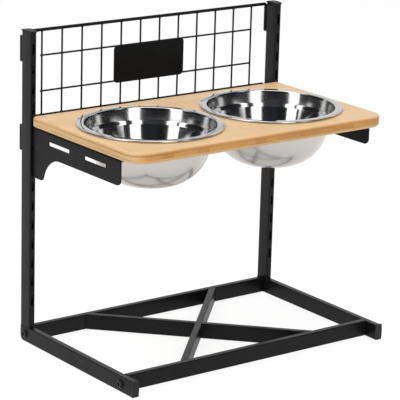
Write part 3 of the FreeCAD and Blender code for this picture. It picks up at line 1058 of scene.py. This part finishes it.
@dataclass
class FeedingBowl:
    """One pressed steel bowl that hangs by its rolled rim."""

    side: Side
    lip: float = 8.5 * MM
    sheet: float = 0.8 * MM
    bead: float = 1.5 * MM
    throat_bend: float = 2.5 * MM
    step_depth: float = 19.0 * MM
    step_height: float = 5.6 * MM
    step_bend: float = 3.0 * MM
    side_radius: float = 65.0 * MM
    upper_lean: float = math.radians(10.0)
    step_lean: float = math.radians(30.0)
    lower_lean: float = math.radians(16.5)
    # Where the finishes change below the rim, in radii of its bead
    brushed_below: float = 2.0
    satin_below: float = 2.2
    under_facing: float = -0.5
    turn_steps: int = 192
    side_steps: int = 36
    tuck_steps: int = 10
    bead_steps: int = 12
    low: Vector = field(init=False)
    high: Vector = field(init=False)

    def __post_init__(self) -> None:
        """Read the bowl's place from its solid."""
        self.low, self.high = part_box(self.node)

    @property
    def node(self) -> str:
        """The bowl's solid."""
        return f"{self.side.word}_bowl"

    @property
    def axis(self) -> Vector:
        """The middle of the bowl's bottom."""
        return Vector(((self.low.x + self.high.x) / 2.0, (self.low.y + self.high.y) / 2.0, self.low.z))

    @property
    def height(self) -> float:
        """The bowl's whole height."""
        return self.high.z - self.low.z

    def sheet_corners(self) -> list[Bend]:
        """Work out the sheet's outer side, from the middle of the floor up to the throat.

        Returns:
            The corners.
        """
        under = self.height - self.sheet
        step_top = self.height - self.step_depth
        step_low = step_top - self.step_height
        throat = (self.high.x - self.low.x) / 2.0 - self.lip
        throat -= math.tan((QUARTER_TURN - self.upper_lean) / 2.0) * self.throat_bend
        step_top_x = throat - math.tan(self.upper_lean) * (under - step_top)
        step_low_x = step_top_x - math.tan(self.step_lean) * self.step_height
        floor_x = step_low_x - math.tan(self.lower_lean) * step_low
        return [
            Bend(0.0, 0.0),
            Bend(floor_x, 0.0, self.side_radius, self.side_steps),
            Bend(step_low_x, step_low, self.step_bend),
            Bend(step_top_x, step_top, self.step_bend),
            Bend(throat, under, self.throat_bend),
        ]

    def draw_profile(self, mesh: BMesh) -> None:
        """Draw the sheet's section, from the middle of the underside round the rim and back inside.

        Args:
            mesh: The mesh to draw in.
        """
        under = self.height - self.sheet
        bead = Vector(((self.high.x - self.low.x) / 2.0 - self.bead, 0.0, self.height - self.bead))
        rise = self.bead - self.sheet
        tuck = math.sqrt(self.bead ** 2 - rise ** 2)
        corners = self.sheet_corners()
        pen = ProfilePen(mesh, corners[0].place)
        pen.bent_line(corners + [Bend(bead.x - tuck, under)], 0.0)
        pen.arc(bead, QUARTER_TURN + math.atan2(rise, tuck), self.tuck_steps)
        pen.arc(bead, math.pi, self.bead_steps)
        pen.bent_line([Bend(bead.x, under)] + corners[::-1], -self.sheet)

    def build(self) -> Object:
        """Model the bowl and give it its two finishes.

        Returns:
            The bowl.
        """
        mesh = bmesh.new()
        self.draw_profile(mesh)
        spin_closed(mesh, self.turn_steps)
        rim_low = self.height - self.satin_below * self.bead
        for face in mesh.faces:
            centre = face.calc_center_median()
            outward = face.normal.x * centre.x + face.normal.y * centre.y
            outside = centre.z < rim_low and (outward > 0.0 or face.normal.z < self.under_facing)
            face.material_index = 1 if outside else 0
        bmesh.ops.translate(mesh, verts=mesh.verts[:], vec=self.axis)
        step = self.high.z - self.step_depth
        rim = self.high.z - self.brushed_below * self.bead
        polish = BOWL_INSIDE.build(self.axis, step, rim)
        satin = BOWL_OUTSIDE.build(self.axis)
        bowl = finish_piece(mesh, f"{self.side.word}_steel_bowl", self.node, Slot.BOWL, polish, satin)
        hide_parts(self.node)
        return bowl


@dataclass
class Shelf:
    """The bamboo board on its two bent brackets."""

    front_corner: float = 29.0 * MM
    rear_corner: float = 4.6 * MM
    edge_round: float = 4.0 * MM
    hole_round: float = 1.5 * MM
    hole_radius: float = 98.74 * MM
    hole_margin: float = 1.0 * MM
    hole_steps: int = 160
    corner_steps: int = 14
    edge_round_steps: int = 8
    hole_round_steps: int = 5
    arm_height: float = 37.0 * MM
    foot_reach: float = 27.3 * MM
    foot_corner: float = 4.0 * MM
    foot_margin: float = 1.0 * MM
    solid_arch: float = 33.0 * MM
    wide_arch: float = 46.0 * MM
    # How far a corner of the solid's mesh may lie from the arch's true circle
    arch_slack: float = 0.05 * MM

    def board_outline(self, mesh: BMesh, low: Vector, high: Vector) -> None:
        """Draw the board's outline and its two holes on its underside.

        Args:
            mesh: The mesh to draw in.
            low: The board's lowest corner.
            high: The board's highest corner.
        """
        flat_sheet(mesh, high.x - low.x, high.y - low.y)
        for front, radius in ((True, self.front_corner), (False, self.rear_corner)):
            corners = [vert for vert in mesh.verts if (vert.co.y < 0.0) == front]
            extremes = [vert for vert in corners if len(vert.link_edges) == 2]
            round_off(mesh, extremes, radius, self.corner_steps, Rounding.CORNERS)
        bmesh.ops.delete(mesh, geom=mesh.faces[:], context="FACES_ONLY")
        middle = (low + high) / 2.0
        bmesh.ops.translate(mesh, verts=mesh.verts[:], vec=(middle.x, middle.y, low.z))
        for side in Side:
            centre = middle_of(f"{side.word}_bowl")
            bmesh.ops.create_circle(
                mesh, cap_ends=False, segments=self.hole_steps, radius=self.hole_radius,
                matrix=Matrix.Translation((centre.x, centre.y, low.z)))

    def build_board(self) -> Object:
        """Model the board.

        Returns:
            The board.
        """
        low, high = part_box("shelf_board")
        mesh = bmesh.new()
        self.board_outline(mesh, low, high)
        bmesh.ops.triangle_fill(mesh, use_beauty=True, use_dissolve=False, edges=mesh.edges[:])
        rims = thicken(mesh, high.z - low.z)
        holes = []
        outer = []
        centres = [middle_of(f"{side.word}_bowl") for side in Side]
        for edge in rims:
            middle = (edge.verts[0].co + edge.verts[1].co) / 2.0
            near = min((middle.xy - centre.xy).length for centre in centres)
            (holes if near < self.hole_radius + self.hole_margin else outer).append(edge)
        round_off(mesh, outer, self.edge_round, self.edge_round_steps, Rounding.EDGES)
        round_off(mesh, holes, self.hole_round, self.hole_round_steps, Rounding.EDGES)
        board = finish_piece(mesh, "bamboo_board", "shelf", Slot.BAMBOO, BAMBOO.build(low, high))
        even_shading(board)
        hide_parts("shelf_board")
        return board

    def build_bracket(self, side: Side, sheet_coat: Material) -> None:
        """Model a bracket, whose arch is wider than its solid's and runs down to the foot's corner.

        Args:
            side: The side of the stand.
            sheet_coat: The bracket's finish.
        """
        node = f"{side.word}_bracket"
        arm_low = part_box(node)[1].z - self.arm_height
        foot_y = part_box(f"{side.word}_post")[0].y - self.foot_reach
        corner = Vector((0.0, foot_y, arm_low))
        centre = corner - Vector((0.0, self.solid_arch, self.solid_arch))
        wide_centre = corner - Vector((0.0, self.wide_arch, self.wide_arch))
        lowest = math.asin((centre.z - wide_centre.z) / self.wide_arch)
        mesh = copy_solid(node)
        foot_end = foot_y + self.foot_corner
        foot_low = min(vert.co.z for vert in mesh.verts if vert.co.y < foot_end + self.foot_margin)
        pulled = foot_y - wide_centre.y - math.sqrt(
            self.wide_arch ** 2 - (foot_low + self.foot_corner - wide_centre.z) ** 2)
        for vert in mesh.verts:
            away = vert.co.yz - centre.yz
            if min(away) > -SNUG and abs(away.length - self.solid_arch) < self.arch_slack:
                share = math.atan2(away.y, away.x) / QUARTER_TURN
                angle = lowest + (QUARTER_TURN - lowest) * share
                vert.co.y = wide_centre.y + self.wide_arch * math.cos(angle)
                vert.co.z = wide_centre.z + self.wide_arch * math.sin(angle)
            elif vert.co.z < centre.z and vert.co.y < foot_end + SNUG:
                vert.co.y -= pulled * min((vert.co.z - foot_low) / self.foot_corner, 1.0)
        bracket = finish_reshaped(mesh, f"{side.word}_sheet_bracket", "shelf", Slot.STEEL, sheet_coat)
        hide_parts(node)

    def build(self, sheet_coat: Material, zinc: Material) -> None:
        """Model the board and its brackets and dress the screws.

        Args:
            sheet_coat: The brackets' finish.
            zinc: The screws' finish.
        """
        self.build_board()
        for side in Side:
            self.build_bracket(side, sheet_coat)
        dress_node("bracket_screws", zinc)


@dataclass
class WeldBead:
    """A rippled upright weld bead in a corner."""

    place: Vector
    length: float
    radius: float
    ripple: float = 1.2 * MM
    # The neck and the tip are shares of the radius, and the crest is a share of a ripple
    ripple_neck: float = 0.8
    ripple_crest: float = 0.45
    tip: float = 0.3
    # A slow wave makes the ripples uneven
    swell: float = 0.09
    swell_pitch: float = 2.3
    swell_shift: float = 90.0
    turn_steps: int = 10

    def draw(self, mesh: BMesh) -> None:
        """Add the bead to a mesh.

        Args:
            mesh: The mesh of all the beads of one body.
        """
        pen = ProfilePen(mesh, self.place)
        drawn = [pen.tip]
        count = int(self.length / self.ripple)
        for index in range(count + 1):
            wave = math.sin(self.swell_pitch * index + self.swell_shift * self.place.x)
            widest = self.radius * (1.0 + self.swell * wave)
            for share, height in ((self.ripple_neck, 0.0), (1.0, self.ripple_crest)):
                rise = min((index + height) * self.ripple, self.length)
                pen.line_to(self.place + Vector((widest * share, 0.0, rise)))
                drawn.append(pen.tip)
        pen.line_to(self.place + UP * (self.length + self.tip * self.radius))
        drawn.append(pen.tip)
        edges = {edge for vert in drawn for edge in vert.link_edges}
        bmesh.ops.spin(
            mesh, geom=drawn + list(edges), cent=self.place, axis=UP, angle=math.tau,
            steps=self.turn_steps, use_merge=True, use_duplicate=False)


def join_beads(beads: list[WeldBead], name: str, body: str, coat: Material) -> None:
    """Make one piece of several weld beads.

    Args:
        beads: The beads.
        name: The piece's name.
        body: The body that it rides on.
        coat: The finish over the beads.
    """
    mesh = bmesh.new()
    for bead in beads:
        bead.draw(mesh)
    bmesh.ops.remove_doubles(mesh, verts=mesh.verts[:], dist=SAME_PLACE)
    bmesh.ops.recalc_face_normals(mesh, faces=mesh.faces[:])
    finish_piece(mesh, name, body, Slot.STEEL, coat)


@dataclass
class SideFrames:
    """The two slotted posts on their foot bars, with caps and plugs."""

    plug_overhang: float = 1.0 * MM
    stem_margin: float = 1.2 * MM

    def build_plug(self, side: Side, plastic: Material) -> None:
        """Model a foot bar's plug, with a head that stands proud of the tube on three sides.

        Args:
            side: The side of the stand.
            plastic: The plug's finish.
        """
        node = f"{side.word}_foot_plug"
        low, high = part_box(node)
        tube_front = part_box(f"{side.word}_foot_bar")[0].y
        middle = (low + high) / 2.0
        half = (high - low) / 2.0
        mesh = copy_solid(node)
        head = []
        for vert in mesh.verts:
            before = vert.co.y < tube_front - SNUG
            outer = abs(vert.co.x - middle.x) > half.x - self.stem_margin
            outer = outer or abs(vert.co.z - middle.z) > half.z - self.stem_margin
            if before or (outer and vert.co.y < tube_front + SNUG):
                head.append(vert)
        wider = 1.0 + self.plug_overhang / half.x
        taller = 1.0 + self.plug_overhang / (2.0 * half.z)
        bmesh.ops.scale(
            mesh, vec=(wider, 1.0, taller), verts=head, space=Matrix.Translation((-middle.x, 0.0, -low.z)))
        plug = finish_reshaped(mesh, f"{side.word}_end_plug", "frame", Slot.PLASTIC, plastic)
        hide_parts(node)

    def build(self, coat: Material) -> None:
        """Dress the frames and model the plugs.

        Args:
            coat: The tubes' finish.
        """
        caps = CAP_PLASTIC.build()
        # The plugs get the caps' plastic with painted light added.
        plugs = PLUG_PLASTIC_PAINTED_LIGHT.build()
        for side in Side:
            for part in ("post", "foot_bar"):
                dress_node(f"{side.word}_{part}", coat)
            dress_node(f"{side.word}_post_cap", caps)
            self.build_plug(side, plugs)


@dataclass
class Base:
    """The front and rear bars, the crossed brace and the bolts."""

    bars: tuple[str, ...] = ("front_bar", "rear_bar", "through_brace", "front_half_brace", "rear_half_brace")
    bead_radius: float = 1.9 * MM
    bead_margin: float = 1.6 * MM
    collar_radius: float = 6.7 * MM
    collar_rim: float = 0.5 * MM
    collar_shoulder: float = 4.2 * MM
    socket_reach: float = 2.45 * MM
    rim_steps: int = 8
    dome_steps: int = 10
    collar_steps: int = 48
    face_slack: float = 0.1 * MM

    def draw_collar(self, mesh: BMesh, seat: Matrix, height: float) -> None:
        """Add the domed collar of one flanged bolt head, open round the socket, to a mesh.

        Args:
            mesh: The mesh of all the collars.
            seat: Takes the Z axis to the bolt's axis and the origin to the bar's face.
            height: The head's height.
        """
        edge = self.collar_radius - self.collar_rim
        rise = height - 2.0 * self.collar_rim
        reach = edge - self.collar_shoulder
        dome = (reach * reach + rise * rise) / (2.0 * rise)
        ring = bmesh.new()
        start = Vector((self.socket_reach, 0.0, 0.0))
        pen = ProfilePen(ring, start)
        pen.line_to(Vector((edge, 0.0, 0.0)))
        pen.arc(Vector((edge, 0.0, self.collar_rim)), math.pi, self.rim_steps)
        dome_centre = Vector((self.collar_shoulder, 0.0, height - dome))
        pen.arc(dome_centre, math.asin(reach / dome), self.dome_steps)
        pen.line_to(Vector((self.socket_reach, 0.0, height)))
        pen.line_to(start)
        spin_closed(ring, self.collar_steps)
        bmesh.ops.transform(ring, matrix=seat, verts=ring.verts[:])
        data = mesh_data(ring, "collar")
        mesh.from_mesh(data)
        bpy.data.meshes.remove(data)

    def build_collars(self, oxide: Material) -> None:
        """Model the collars round the bolts' heads.

        Args:
            oxide: The bolts' finish.
        """
        low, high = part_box("frame_bolts")
        radius = (high.z - low.z) / 2.0
        mesh = bmesh.new()
        for side in Side:
            bar_low, bar_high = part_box(f"{side.word}_foot_bar")
            face = bar_low.x if side is Side.LEFT else bar_high.x
            for y in (low.y + radius, high.y - radius):
                seat = Matrix.Translation((face, y, low.z + radius))
                turned = seat @ Matrix.Rotation(side.value * QUARTER_TURN, 4, "Y")
                self.draw_collar(mesh, turned, high.x - abs(face))
        bmesh.ops.recalc_face_normals(mesh, faces=mesh.faces[:])
        finish_piece(mesh, "bolt_collars", "frame", Slot.BOLT, oxide)

    def end_reach(self, node: str, y: float) -> tuple[float, float]:
        """The least and greatest X of a brace where it meets a bar's face.

        Args:
            node: The brace.
            y: The place of the bar's face.

        Returns:
            The two X places.
        """
        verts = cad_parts[node].data.vertices
        places = [vert.co.x for vert in verts if abs(vert.co.y - y) < self.face_slack]
        return min(places), max(places)

    def weld_corners(self) -> list[tuple[float, float]]:
        """Find the corners where the braces meet the bars and each other.

        Returns:
            Each corner's place as seen from above.
        """
        low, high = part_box("through_brace")
        corners = []
        ends = (("through_brace", low.y), ("through_brace", high.y), ("front_half_brace", low.y),
                ("rear_half_brace", high.y))
        for node, y in ends:
            corners += [(x, y) for x in self.end_reach(node, y)]
        first, last = self.end_reach("through_brace", low.y)
        half = (last - first) / 2.0
        bar_low, bar_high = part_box("front_bar")
        sine = (bar_high.y - bar_low.y) / 2.0 / half
        rise = half * sine / math.sqrt(1.0 - sine * sine)
        middle = (low.y + high.y) / 2.0
        return corners + [(-half, middle), (half, middle), (0.0, middle - rise), (0.0, middle + rise)]

    def build(self, coat: Material, oxide: Material, zinc: Material) -> None:
        """Dress the base.

        Args:
            coat: The bars' finish.
            oxide: The bolts' finish.
            zinc: The inserts' finish.
        """
        for bar in self.bars:
            dress_node(bar, coat)
        dress_node("frame_bolts", oxide)
        dress_node("bar_inserts", zinc)
        self.build_collars(oxide)
        low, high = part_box("through_brace")
        start = low.z + self.bead_margin
        length = high.z - self.bead_margin - start
        beads = [WeldBead(Vector((x, y, start)), length, self.bead_radius) for x, y in self.weld_corners()]
        join_beads(beads, "brace_weld_beads", "frame", coat)


@dataclass
class Guard:
    """The wire guard behind the shelf."""

    wires: int = 12
    nugget_radius: float = 1.9 * MM
    # Nuggets are flattened to these shares of their radius
    nugget_height: float = 0.6
    crossing_depth: float = 0.45
    crossing_height: float = 0.8
    bead_radius: float = 1.1 * MM
    # The beads' places, in radii of a bead
    bead_sink: float = 0.3
    bead_stand: float = 0.6
    bead_start: float = 2.0
    bead_stop: float = 4.0
    plate_wider: float = 2.6 * MM
    plate_taller: float = 4.8 * MM
    plate_shift: float = -2.6 * MM
    plate_drop: float = 0.8 * MM
    plate_corner: float = 6.5 * MM
    plate_corner_steps: int = 10
    plate_rim: float = 0.4 * MM
    plate_rim_steps: int = 4

    def upright(self, index: int) -> str:
        """The node of one upright wire, counted from 1."""
        return f"upright_wire_{index:02d}"

    def rods(self) -> list[str]:
        """The nodes of the rods and wires."""
        names = ["guard_top_rod", "guard_bottom_rod", "lower_cross_wire", "upper_cross_wire"]
        return names + [self.upright(index + 1) for index in range(self.wires)]

    def hook_plates(self) -> list[str]:
        """The nodes of the hook plates."""
        return [f"{side.word}_{level}_hook_plate" for side in Side for level in ("top", "bottom")]

    def build_plate(self, sheet_coat: Material) -> None:
        """Model the bare plate in the middle, with round corners.

        Args:
            sheet_coat: The plate's finish.
        """
        low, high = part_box("name_plate")
        middle = (low + high) / 2.0
        size = high - low
        mesh = bmesh.new()
        flat_sheet(mesh, size.x + self.plate_wider, size.z + self.plate_taller)
        round_off(mesh, mesh.verts[:], self.plate_corner, self.plate_corner_steps, Rounding.CORNERS)
        rims = thicken(mesh, size.y)
        round_off(mesh, rims, self.plate_rim, self.plate_rim_steps, Rounding.EDGES)
        upright = Matrix.Rotation(QUARTER_TURN, 3, "X")
        bmesh.ops.rotate(mesh, verts=mesh.verts[:], cent=ORIGIN, matrix=upright)
        place = (middle.x + self.plate_shift, high.y, middle.z - self.plate_drop)
        bmesh.ops.translate(mesh, verts=mesh.verts[:], vec=place)
        plate = finish_piece(mesh, "bare_plate", "guard", Slot.STEEL, sheet_coat)
        even_shading(plate)
        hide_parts("name_plate")

    def nuggets(self) -> list[Matrix]:
        """Place the flattened nuggets that weld the upright wires to the rods and to the cross wires.

        Returns:
            What takes a round nugget to each place and shape.
        """
        shapes = []
        for index in range(self.wires):
            low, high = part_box(self.upright(index + 1))
            middle = (low + high) / 2.0
            for z in (low.z, high.z):
                collar = Matrix.Translation((middle.x, middle.y, z))
                shapes.append(collar @ Matrix.Diagonal((1.0, 1.0, self.nugget_height, 1.0)))
            for node in ("lower_cross_wire", "upper_cross_wire"):
                crossing = Matrix.Translation((middle.x, high.y, middle_of(node).z))
                flattened = (1.0, self.crossing_depth, self.crossing_height, 1.0)
                shapes.append(crossing @ Matrix.Diagonal(flattened))
        return shapes

    def leg_beads(self) -> list[WeldBead]:
        """Place the beads in front of and behind each rod's leg, along its hook plate.

        Returns:
            The beads.
        """
        beads = []
        for level in ("top", "bottom"):
            rod_low, rod_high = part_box(f"guard_{level}_rod")
            middle = (rod_low.y + rod_high.y) / 2.0
            reach = (rod_high.y - rod_low.y) / 2.0 - self.bead_sink * self.bead_radius
            for side in Side:
                plate_low, plate_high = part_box(f"{side.word}_{level}_hook_plate")
                face = plate_low.x if side is Side.RIGHT else plate_high.x
                x = face - side.value * self.bead_stand * self.bead_radius
                start = rod_low.z + self.bead_start * self.bead_radius
                length = plate_high.z - self.bead_stop * self.bead_radius - start
                for y in (middle - reach, middle + reach):
                    beads.append(WeldBead(Vector((x, y, start)), length, self.bead_radius))
        return beads

    def build(self, coat: Material, sheet_coat: Material) -> None:
        """Dress the guard and add its plate and its welds.

        Args:
            coat: The finish of rods, wires and welds.
            sheet_coat: The plates' finish.
        """
        for nodes, finish in ((self.rods(), coat), (self.hook_plates(), sheet_coat)):
            for node in nodes:
                dress_node(node, finish)
        self.build_plate(sheet_coat)
        mesh = bmesh.new()
        for shape in self.nuggets():
            bmesh.ops.create_icosphere(mesh, subdivisions=2, radius=self.nugget_radius, matrix=shape)
        finish_piece(mesh, "guard_weld_nuggets", "guard", Slot.STEEL, coat)
        join_beads(self.leg_beads(), "guard_weld_beads", "guard", coat)


@dataclass
class StudioCamera:
    """The camera at the photograph's viewing angle."""

    place: Vector = field(default_factory=lambda: Vector((-1.90407, -2.50482, 1.11308)))
    turn: float = math.radians(-37.145)
    tilt: float = math.radians(-15.870)
    roll: float = math.radians(1.600)
    focal_pixels: float = 2186.1
    picture_pixels: float = 400.0
    sensor: float = 36.0
    farthest: float = 60.0

    def build(self) -> None:
        """Make the camera and use it."""
        forward = Vector((
            -math.sin(self.turn) * math.cos(self.tilt),
            math.cos(self.turn) * math.cos(self.tilt),
            math.sin(self.tilt)))
        level = Vector((math.cos(self.turn), math.sin(self.turn), 0.0))
        upright = level.cross(forward)
        right = math.cos(self.roll) * level + math.sin(self.roll) * upright
        up = -math.sin(self.roll) * level + math.cos(self.roll) * upright
        data = bpy.data.cameras.new("studio_camera")
        data.sensor_width = self.sensor
        data.lens = self.focal_pixels / self.picture_pixels * self.sensor
        data.clip_end = self.farthest
        camera = link_object("studio_camera", data)
        turned = Matrix((right, up, -forward)).transposed().to_4x4()
        camera.matrix_world = Matrix.Translation(self.place) @ turned
        bpy.context.scene.camera = camera


@dataclass(frozen=True)
class StripLight:
    """One upright soft light, at a turn from the camera to the right as the camera sees it."""

    name: str
    turn: float
    width: float
    low: float
    high: float


@dataclass
class Studio:
    """The floor, the light and what the polished steel reflects."""

    camera: StudioCamera = field(default_factory=StudioCamera)
    # Strengths of the surround and of the floor, where 1 is white
    sky_for_light: float = 0.42
    ceiling_grey: float = 0.14
    ceiling_range: Range = (0.1, 0.32)
    floor_size: float = 14.0
    floor_drop: float = 0.2 * MM
    floor_colour: Colour = (0.86, 0.86, 0.86)
    white_share: float = 0.72
    floor_glow: float = 1.17
    # In reflections the floor glows dimmer near the stand than far away: a painted shadow of the stand.
    floor_mirrored_painted_shadow: float = 0.85
    floor_mirrored_far: float = 1.12
    floor_near: float = 0.15
    floor_far: float = 0.8
    strips: tuple[StripLight, ...] = (
        StripLight("right_strip", math.radians(29.5), 1.25, 0.1, 7.0),
        StripLight("left_strip", math.radians(-45.0), 1.25, 0.1, 7.0),
        StripLight("far_right_strip", math.radians(60.0), 0.75, 1.35, 3.6),
        StripLight("far_left_strip", math.radians(-67.0), 0.75, 1.35, 3.6),
    )
    strip_distance: float = 3.4
    strip_radiance: float = 1.85
    # The power that gives a light of one square metre a radiance of 1
    watts_for_radiance: float = 4.0
    top_size: float = 1.8
    top_place: Triple = (-0.2, 0.3, 2.7)
    top_aim: Triple = (0.0, 0.0, 0.33)
    top_watts: float = 21.0
    curtain_radius: float = 4.2
    curtain_half_turn: float = math.radians(115.0)
    curtain_steps: int = 32
    curtain_height: float = 11.0
    curtain_paler_from: float = 3.0
    curtain_folds: Cloud = Cloud(0.7, 0.55, 1.6)
    cloth_low: Colour = (0.018, 0.02, 0.024)
    cloth_high: Colour = (0.17, 0.18, 0.2)

    def seen_directly(self, wiring: Wiring) -> NodeSocket:
        """Tell the rays that show a surface from those that only light other surfaces.

        Args:
            wiring: The wiring of a material or of the world.

        Returns:
            1 for camera, glossy and transmission rays.
        """
        rays = wiring.add("ShaderNodeLightPath")
        seen = wiring.math("MAXIMUM", rays.outputs["Is Camera Ray"], rays.outputs["Is Glossy Ray"])
        return wiring.math("MAXIMUM", seen, rays.outputs["Is Transmission Ray"])

    def build_world(self) -> None:
        """Make a white surround, weaker where it only lights, and greyer overhead in reflections."""
        world = bpy.data.worlds.new("white_surround")
        world.use_nodes = True
        bpy.context.scene.world = world
        wiring = Wiring(world.node_tree)
        direction = wiring.add("ShaderNodeTexCoord").outputs["Generated"]
        up = wiring.add("ShaderNodeSeparateXYZ", Vector=direction).outputs[2]
        mirrored = wiring.add("ShaderNodeLightPath").outputs["Is Glossy Ray"]
        overhead = wiring.spread(up, *self.ceiling_range, 0.0, self.ceiling_grey)
        grey = wiring.math("MULTIPLY", overhead, mirrored)
        shown = wiring.math("SUBTRACT", 1.0, grey)
        strength = wiring.spread(self.seen_directly(wiring), 0.0, 1.0, self.sky_for_light, shown)
        surround = wiring.add("ShaderNodeBackground", Color=WHITE, Strength=strength)
        end = wiring.add("ShaderNodeOutputWorld")
        wiring.feed(end.inputs["Surface"], surround.outputs[0])

    def build_floor(self) -> None:
        """Make a pale floor that stays white around the object's soft shadow, and that reflections show dimmer
        near the stand as a painted shadow.
        """
        mesh = bmesh.new()
        flat_sheet(mesh, self.floor_size, self.floor_size)
        bmesh.ops.translate(mesh, verts=mesh.verts[:], vec=UP * -self.floor_drop)
        floor = link_object("studio_floor", mesh_data(mesh, "studio_floor"))
        material, wiring, end = start_material("pale_floor")
        matt = wiring.add("ShaderNodeBsdfDiffuse", Color=rgba(self.floor_colour))
        mirrored = wiring.add("ShaderNodeLightPath").outputs["Is Glossy Ray"]
        place = wiring.add("ShaderNodeTexCoord").outputs["Object"]
        away = wiring.add("ShaderNodeVectorMath", {"operation": "LENGTH"}, Vector=place).outputs["Value"]
        # A painted shadow: the mirrored floor is dimmer near the stand.
        mirrored_with_painted_shadow = wiring.spread(
            away, self.floor_near, self.floor_far, self.floor_mirrored_painted_shadow, self.floor_mirrored_far)
        strength = wiring.blend(mirrored, self.floor_glow, mirrored_with_painted_shadow)
        glow = wiring.add("ShaderNodeEmission", Color=WHITE, Strength=strength)
        share = wiring.math("MULTIPLY", self.seen_directly(wiring), self.white_share)
        both = wiring.add("ShaderNodeMixShader", Fac=share)
        wiring.feed(both.inputs[1], matt.outputs[0])
        wiring.feed(both.inputs[2], glow.outputs[0])
        wiring.feed(end.inputs["Surface"], both.outputs[0])
        floor.data.materials.append(material)

    def build_curtain(self) -> None:
        """Make a dark curtain round the camera, which only reflections show."""
        mesh = bmesh.new()
        start = Vector((0.0, -self.curtain_radius, 0.0))
        base = bmesh.ops.create_vert(mesh, co=start)["vert"][0]
        first_turn = Matrix.Rotation(self.camera.turn - self.curtain_half_turn, 3, "Z")
        bmesh.ops.rotate(mesh, verts=[base], cent=ORIGIN, matrix=first_turn)
        bmesh.ops.spin(
            mesh, geom=[base], cent=ORIGIN, axis=UP, angle=2.0 * self.curtain_half_turn,
            steps=self.curtain_steps, use_duplicate=False)
        raised = bmesh.ops.extrude_edge_only(mesh, edges=mesh.edges[:])
        tops = [item for item in raised["geom"] if isinstance(item, BMVert)]
        bmesh.ops.translate(mesh, verts=tops, vec=UP * self.curtain_height)
        curtain = link_object("dark_curtain", mesh_data(mesh, "dark_curtain"))
        for kind in ("camera", "diffuse", "transmission", "shadow"):
            setattr(curtain, f"visible_{kind}", False)
        material, wiring, end = start_material("dark_cloth")
        place = wiring.add("ShaderNodeTexCoord").outputs["Object"]
        height = wiring.add("ShaderNodeSeparateXYZ", Vector=place).outputs[2]
        rise = wiring.spread(height, self.curtain_paler_from, self.curtain_height, 0.0, 1.0)
        shade = wiring.mix(rise, rgba(self.cloth_low), rgba(self.cloth_high))
        folds = self.curtain_folds.place(wiring)
        cloth = wiring.add("ShaderNodeEmission", Color=shade, Strength=folds)
        wiring.feed(end.inputs["Surface"], cloth.outputs[0])
        curtain.data.materials.append(material)

    def build_light(self, name: str, size: Range, watts: float, place: Vector, aim: Vector) -> None:
        """Make one soft rectangular light.

        Args:
            name: The light's name.
            size: Its width and height.
            watts: Its power.
            place: Where it is.
            aim: What it points at.
        """
        data = bpy.data.lights.new(name, "AREA")
        data.shape = "RECTANGLE"
        data.size, data.size_y = size
        data.energy = watts
        light = link_object(name, data)
        turned = (aim - place).to_track_quat("-Z", "Y").to_matrix().to_4x4()
        light.matrix_world = Matrix.Translation(place) @ turned

    def build(self) -> None:
        """Set up the studio."""
        bpy.context.scene.view_settings.view_transform = "Standard"
        self.build_world()
        self.build_floor()
        self.build_curtain()
        for strip in self.strips:
            angle = strip.turn + self.camera.turn
            aim = UP * ((strip.low + strip.high) / 2.0)
            away = Vector((math.sin(angle), -math.cos(angle), 0.0)) * self.strip_distance
            size = (strip.width, strip.high - strip.low)
            watts = self.watts_for_radiance * self.strip_radiance * size[0] * size[1]
            self.build_light(strip.name, size, watts, aim + away, aim)
        size = (self.top_size, self.top_size)
        self.build_light("top_light", size, self.top_watts, Vector(self.top_place), Vector(self.top_aim))
        self.camera.build()


def main() -> None:
    """Build the studio and the stand, one sub-assembly after another."""
    logging.basicConfig(level=logging.INFO, format="%(message)s")
    Studio().build()
    coat = POWDER_COAT.build()
    sheet_coat = SHEET_COAT.build()
    oxide = BLACK_OXIDE.build()
    zinc = ZINC.build(ORIGIN)
    SideFrames().build(coat)
    Base().build(coat, oxide, zinc)
    Shelf().build(sheet_coat, zinc)
    for side in Side:
        FeedingBowl(side).build()
    Guard().build(coat, sheet_coat)


if __name__ == "__main__":
    main()
